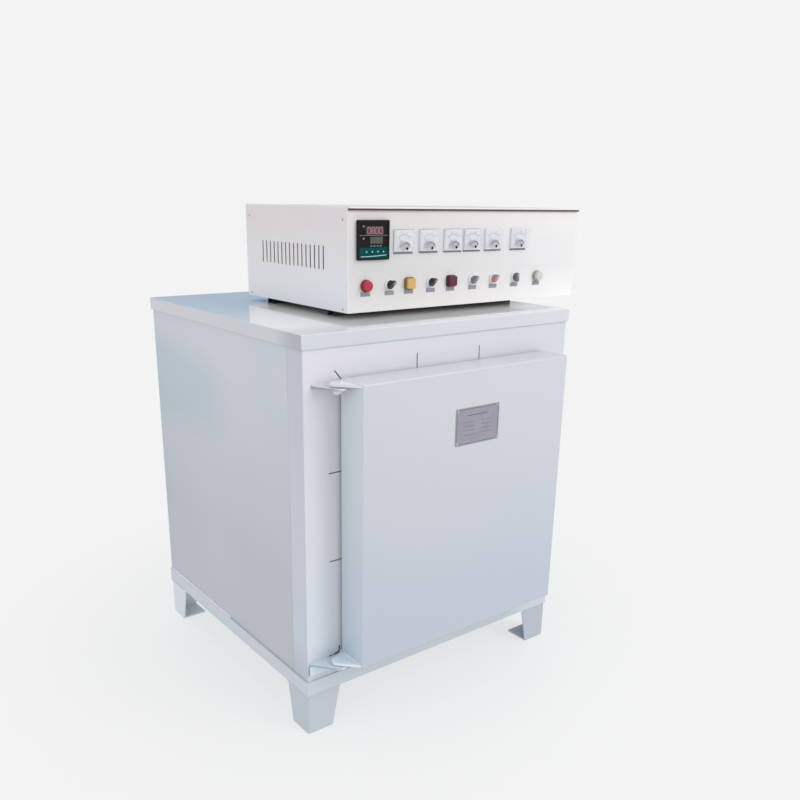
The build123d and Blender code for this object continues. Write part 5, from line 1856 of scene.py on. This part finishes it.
@dataclass
class Meters:
    """The six panel meters, whose needles start at a pivot under the hood."""

    marks: int = 31
    long_marks: int = 7
    sweep: float = math.radians(86.0)
    drop: float = 14.0 * MM
    digit_size: float = 3.6 * MM
    digit_reach: float = 33.6 * MM
    needle_ends: tuple[float, float] = (-5.0 * MM, 28.5 * MM)
    needle_level: float = 2.6 * MM
    rim_radii: tuple[float, float] = (14.6 * MM, 10.6 * MM)
    rim_ends: tuple[float, float] = (18.0, 162.0)
    screw_shift: Triple = (3.0, 0.0, -19.5)
    screw_turn: float = 0.35
    cover_shadow_height: float = 4.4 * MM

    def build(self) -> None:
        """Dresses the meters and adds scales, needles, rims, zero screws and a painted shadow under
        each cover.
        """
        dress(Stock.white, "meter_cases")
        dress(Stock.card, "meter_dials")
        dress(Stock.hood, "meter_hoods")
        dress(Stock.clear, "meter_covers")
        self.covers = islands("meter_covers")
        spots = [front_of(dial) - UPWARD * self.drop for dial in islands("meter_dials")]
        self.pivots = facing_front(spots)
        self.scales()
        self.needles()
        self.hood_rims()
        self.zero_screws()
        self.cover_shadows()

    def cover_shadows(self) -> None:
        """Adds a dark strip under each cover: the painted shadow of the cover on the panel."""
        shape = Shape()
        for low, high in self.covers:
            start = (low.x + 1.0 * MM, high.y + 0.4 * MM, low.z - self.cover_shadow_height)
            shape.block(start, (high.x - 1.0 * MM, high.y + 3.0 * MM, low.z), 0.5 * MM)
        shape.piece("meter_gaskets", Stock.cover_shadow, CABINET, "black_plastic")

    def scales(self) -> None:
        """Prints an arc, its marks and a few numbers on each dial."""
        start = math.pi / 2 - self.sweep / 2
        shape = Shape()
        for count, radius, length, width in (
            (self.marks, 29.0, 2.2, 0.22), (self.long_marks, 29.6, 3.6, 0.4),
        ):
            shape.join(grow(
                arc_scale(), bpy.data.meshes.new("empty"), Stock.ink, Count=count,
                Radius=radius * MM, Start=start, Sweep=self.sweep, Width=width * MM,
                Length=length * MM, Thickness=0.16 * MM,
            ))
        sunk = Matrix.Translation((0, 0, -0.02 * MM))
        shape.band((28.0 * MM, 27.6 * MM), start, self.sweep, 40, 0.1 * MM, sunk)
        for number in range(0, self.long_marks, 2):
            share = 1 - number / (self.long_marks - 1)
            self.number(shape, str(number * 5), start + self.sweep * share)
        shape.repeated(self.pivots, "meter_scales", Stock.ink, CABINET, "black_plastic", 20.0)

    def number(self, shape: Shape, text: str, angle: float) -> None:
        """Adds a number beside the scale, upright.

        Args:
            shape: The shape that takes it.
            text: The number.
            angle: Where it stands about the pivot.
        """
        curve = bpy.data.curves.new("number", "FONT")
        curve.body, curve.size, curve.extrude = text, self.digit_size, 0.06 * MM
        curve.align_x, curve.align_y = "CENTER", "CENTER"
        carrier = bpy.data.objects.new("number", curve)
        bpy.context.scene.collection.objects.link(carrier)
        graph = bpy.context.evaluated_depsgraph_get()
        made = bpy.data.meshes.new_from_object(carrier.evaluated_get(graph))
        bpy.data.objects.remove(carrier)
        bpy.data.curves.remove(curve)
        place = Vector((math.cos(angle), math.sin(angle), 0.0)) * self.digit_reach
        made.transform(Matrix.Translation(place + UPWARD * 0.04 * MM))
        shape.join(made)

    def needles(self) -> None:
        """Adds a needle at rest over each dial."""
        angle = math.pi / 2 + self.sweep / 2
        along = Vector((math.cos(angle), math.sin(angle)))
        across = Vector((-along.y, along.x))
        tail, tip = (along * end for end in self.needle_ends)
        wide, fine = across * 0.6 * MM, across * 0.15 * MM
        outline = [tail - wide, tip - fine, tip + fine, tail + wide]
        raised = Matrix.Translation(UPWARD * self.needle_level)
        shape = Shape().prism(outline, 0.35 * MM, raised)
        hub = [(x * MM, z * MM) for x, z in ((0.0, 2.2), (2.4, 2.2), (2.4, 3.3), (0.0, 3.5))]
        shape.turned(hub, sides=16)
        shape.repeated(self.pivots, "meter_needles", Stock.ink, CABINET, "black_plastic")

    def hood_rims(self) -> None:
        """Adds the dark printed rim on each hood."""
        start, end = (math.radians(angle) for angle in self.rim_ends)
        shape = Shape().band(self.rim_radii, start, end - start, 24, 0.3 * MM)
        spots = [
            Vector((middle_of((low, high)).x, low.y + 0.1 * MM, low.z))
            for low, high in islands("meter_hoods")
        ]
        places = facing_front(spots)
        shape.repeated(places, "hood_rims", Stock.faint, CABINET, "grey_plastic")

    def zero_screws(self) -> None:
        """Adds the slotted zero screw in the front of each cover, each turned a little more."""
        profile = ((0.0, -1.2), (3.4, -1.2), (3.4, 0.3), (2.9, 0.6), (0.0, 0.6))
        shape = Shape().turned([(x * MM, z * MM) for x, z in profile])
        shape.block((-2.3 * MM, -0.3 * MM, 0.5 * MM), (2.3 * MM, 0.3 * MM, 0.75 * MM))
        shift = Vector(self.screw_shift) * MM
        places = [
            (front_of(box) + shift, FORWARD, 0.4 + self.screw_turn * number)
            for number, box in enumerate(self.covers)
        ]
        shape.repeated(places, "zero_screws", Stock.ink_dot, CABINET, "black_plastic")


@dataclass
class Switches:
    """The push buttons and rotary selectors in the lower row."""

    half: float = 15.0 * MM
    square_corner: float = 6.0 * MM
    line_half: float = 0.6 * MM
    line_ends: tuple[float, float] = (2.0 * MM, 11.0 * MM)

    def build(self) -> None:
        """Dresses the switches, and adds the buttons' collars and the selectors' lines."""
        dress(Stock.white, "push_button_bodies", "selector_bodies")
        dress(Stock.last, "white_push_button")
        dress(Stock.red, "red_push_button")
        dress(Stock.yellow, "yellow_push_button")
        dress(Stock.maroon, "dark_red_push_button")
        dress(Stock.knob, "selector_one", "selector_two")
        dress(Stock.grey, "selector_three", "selector_four")
        dress(Stock.rose, "red_selector")
        for name in ("selector_one", "selector_two", "selector_three", "red_selector"):
            self.pointer(name, 45.0)
        self.pointer("selector_four", 0.0)
        self.collar("red_push_button", Stock.red_collar, "red_plastic", False)
        self.collar("yellow_push_button", Stock.yellow_collar, "yellow_plastic", True)
        self.collar("dark_red_push_button", Stock.maroon_collar, "dark_red_plastic", True)
        self.collar("white_push_button", Stock.last_collar, "white_plastic", False)

    def collar(self, name: str, finish: Finish, slot: str, square: bool) -> None:
        """Adds the collar that sits over a push button's bezel, in a darker copy of the head's
        colour: the bezel's own tone with painted shade for its side.

        Args:
            name: The button's node.
            finish: The collar's finish.
            slot: The record's material slot.
            square: Whether the bezel is square.
        """
        inner = -1.85 if square else -1.4
        profile = ((0.05, 0.0), (0.4, 0.0), (0.4, 6.2), (-0.3, 7.25))
        profile += ((inner, 7.25), (inner, 7.02), (-0.6, 7.02), (0.05, 6.1))
        centre = front_of(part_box(name))
        centre.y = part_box("control_panel")[0].y
        corner = self.square_corner if square else self.half
        section = [(x * MM, z * MM) for x, z in profile]
        shape = Shape().framed(section, self.half, corner, upright(centre))
        shape.piece(f"{name}_collar", finish, CABINET, slot, 50.0)

    def pointer(self, name: str, turn: float) -> None:
        """Adds the pale line on a selector's grip.

        Args:
            name: The selector's node and body.
            turn: Degrees that it is turned to the right at rest.
        """
        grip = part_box(name)
        x, bodies = middle_of(grip).x, islands("selector_bodies")
        body = next(box for box in bodies if box[0].x < x < box[1].x)
        centre = front_of(body)
        centre.y = grip[0].y
        (foot, end), half = self.line_ends, self.line_half
        outline = [(-half, foot), (half, foot), (half, end), (-half, end)]
        sunk = Matrix.Translation((0, 0, -0.3 * MM))
        shape = Shape().prism(outline, 0.45 * MM, upright(centre, -turn) @ sunk)
        shape.piece(f"{name}_line", Stock.white, name, "white_plastic")


@dataclass
class RearFittings:
    """What stands on the back of the cabinet and of the control box."""

    def build(self) -> None:
        """Dresses the rear fittings."""
        dress(Stock.cabinet, "terminal_covers")
        dress(Stock.alloy, "probe_head")
        dress(Stock.black, "cable_glands")


@dataclass
class Screws:
    """The cross-recessed screws of the covers and the keeper."""

    seed: int = 11
    width_step: float = 0.1 * MM

    def build(self) -> None:
        """Sets a detailed screw in place of each plain head."""
        draw = random.Random(self.seed)
        carriers = (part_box("box_cover"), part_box("side_panels"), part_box("side_panels"))
        sizes: dict[int, list[tuple[Place, float]]] = {}
        for low, high in islands("panel_screws"):
            size, centre = high - low, (low + high) / 2
            axis = min(range(3), key=lambda part: size[part])
            facing, foot = Vector(NOWHERE), Vector(centre)
            outward = centre[axis] > middle_of(carriers[axis])[axis]
            facing[axis] = 1.0 if outward else -1.0
            foot[axis] = low[axis] if outward else high[axis]
            place = (foot, facing, draw.uniform(0.0, math.pi))
            width = round(max(size) / self.width_step)
            sizes.setdefault(width, []).append((place, size[axis]))
        shape = Shape()
        for width, group in sizes.items():
            head = crossed_screw(width * self.width_step / 2, group[0][1])
            shape.join(set_copies(head, [place for place, _ in group], Stock.bright))
        made = shape.piece("cross_screws", Stock.bright, CABINET, "bright_metal", 30.0)
        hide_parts("panel_screws")


@dataclass(frozen=True)
class Lamp:
    """A square soft lamp, with its side in metres and its power in watts."""

    name: str
    place: Triple
    aim: Triple
    side: float
    power: float
    colour: Colour

    def build(self) -> None:
        """Hangs the lamp."""
        data = bpy.data.lights.new(self.name, "AREA")
        data.size, data.energy, data.color = self.side, self.power, self.colour
        lamp = bpy.data.objects.new(self.name, data)
        lamp.location = self.place
        way = Vector(self.aim) - Vector(self.place)
        lamp.rotation_euler = way.to_track_quat("-Z", "Y").to_euler()
        bpy.context.scene.collection.objects.link(lamp)


@dataclass
class Studio:
    """Floor, backdrop, lamps and camera."""

    pale: Colour = screen(243, 243, 243)
    ground: Colour = screen(232, 232, 232)
    ground_second: Colour = screen(236, 236, 236)
    ground_fade: tuple[float, float] = (0.5, 1.35)
    far_wall: Colour = screen(112, 148, 182)
    wall_fade: tuple[float, float] = (0.28, 0.55)
    sky: Colour = (0.93, 0.965, 1.0)
    sky_strength: float = 0.78
    lamps: tuple[Lamp, ...] = (
        Lamp("key", (1.6, -3.2, 2.6), (0.1, -0.4, 0.6), 2.4, 62.0, (1.0, 0.985, 0.97)),
        Lamp("fill", (-3.4, -1.4, 2.2), (-0.2, 0.0, 0.6), 2.6, 16.0, (0.94, 0.97, 1.0)),
        Lamp("overhead", (0.2, 0.6, 4.0), (0.0, 0.0, 1.0), 3.0, 26.0, (1.0, 1.0, 1.0)),
    )
    lens: float = 36.87
    shift: tuple[float, float] = (0.0112, 0.0798)
    viewpoint: Triple = (-1.4888, -1.97065, 1.3368)
    right: Triple = (0.79174, -0.61068, 0.01491)
    up: Triple = (0.17607, 0.25151, 0.95171)
    ahead: Triple = (0.58493, 0.75088, -0.30665)

    def build(self) -> None:
        """Builds the studio around the furnace."""
        scene = bpy.context.scene
        scene.view_settings.view_transform = "Standard"
        self.world(scene)
        self.floor()
        for lamp in self.lamps:
            lamp.build()
        self.camera(scene)

    def world(self, scene: bpy.types.Scene) -> None:
        """Lights the room evenly, shows the pale backdrop and mirrors a blue far wall.

        Args:
            scene: The scene.
        """
        world = bpy.data.worlds.new("studio_sky")
        scene.world = world
        world.use_nodes = True
        world.node_tree.nodes.clear()
        graph = Graph(world.node_tree)
        height = graph.part(graph.add("ShaderNodeTexCoord").outputs["Generated"], 2)
        share = graph.spread(height, *self.wall_fade, 0.0, 1.0)
        wall = graph.mixed(share, self.far_wall, self.pale)
        light, shown, mirrored = (
            graph.add("ShaderNodeBackground", {"Color": colour, "Strength": strength}).outputs[0]
            for colour, strength in ((self.sky, self.sky_strength), (self.pale, 1.0), (wall, 1.0))
        )
        rays = graph.add("ShaderNodeLightPath").outputs
        seen = graph.maths("MAXIMUM", rays["Is Camera Ray"], rays["Is Transmission Ray"])
        feeds = {0: rays["Is Glossy Ray"], 1: light, 2: mirrored}
        lit = graph.add("ShaderNodeMixShader", feeds).outputs[0]
        mix = graph.add("ShaderNodeMixShader", {0: seen, 1: lit, 2: shown}).outputs[0]
        graph.add("ShaderNodeOutputWorld", {0: mix})

    def floor(self) -> None:
        """Lays a pale floor that fades into the backdrop and keeps the furnace's shadow."""
        level, rings = Vector((0, 0, -0.5 * MM)), [(0.0, 0.0), (3.0, 0.0), (14.0, 0.0)]
        mesh = Shape().turned(rings, level, sides=48).flat_mesh("studio_floor")
        made = bpy.data.objects.new("studio_floor", mesh)
        bpy.context.scene.collection.objects.link(made)
        surface = bpy.data.materials.new("studio_floor")
        surface.use_nodes = True
        graph, nodes = Graph(surface.node_tree), surface.node_tree.nodes
        shader = nodes["Principled BSDF"]
        place = graph.add("ShaderNodeTexCoord").outputs["Object"]
        tone = graph.mixed(graph.noise(place, 1.2, 2.0), self.ground, self.ground_second)
        feeds = {"Base Color": tone, "Roughness": 0.4, "Specular IOR Level": 0.1}
        graph.feed(shader, feeds)
        away = graph.vectors("LENGTH", place, gives="Value")
        fade = graph.spread(away, *self.ground_fade, 0.7, 1.0)
        feeds = {"Color": self.pale, "Strength": 1.0}
        shown = graph.add("ShaderNodeEmission", feeds).outputs[0]
        feeds = {0: fade, 1: shader.outputs[0], 2: shown}
        mix = graph.add("ShaderNodeMixShader", feeds).outputs[0]
        graph.feed(nodes["Material Output"], {0: mix})
        made.data.materials.append(surface)

    def camera(self, scene: bpy.types.Scene) -> None:
        """Sets the camera where the photograph was taken from.

        Args:
            scene: The scene.
        """
        data = bpy.data.cameras.new("photo_camera")
        data.sensor_width, data.lens = 36.0, self.lens
        data.shift_x, data.shift_y = self.shift
        data.clip_end = 60.0
        camera = bpy.data.objects.new("photo_camera", data)
        matrix = Matrix((self.right, self.up, -Vector(self.ahead))).transposed().to_4x4()
        matrix.translation = self.viewpoint
        camera.matrix_world = matrix
        scene.collection.objects.link(camera)
        scene.camera = camera


def main() -> None:
    logging.basicConfig(level=logging.INFO, format="%(name)s %(message)s")
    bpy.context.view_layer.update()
    parts = (
        Cabinet(), Chamber(), Hinges(), Door(), LatchSet(), ControlBox(), Controller(), Meters(),
        Switches(), RearFittings(), Screws(),
    )
    for part in parts:
        LOG.info("building %s", type(part).__name__)
        part.build()
    Studio().build()


if __name__ == "__main__":
    main()
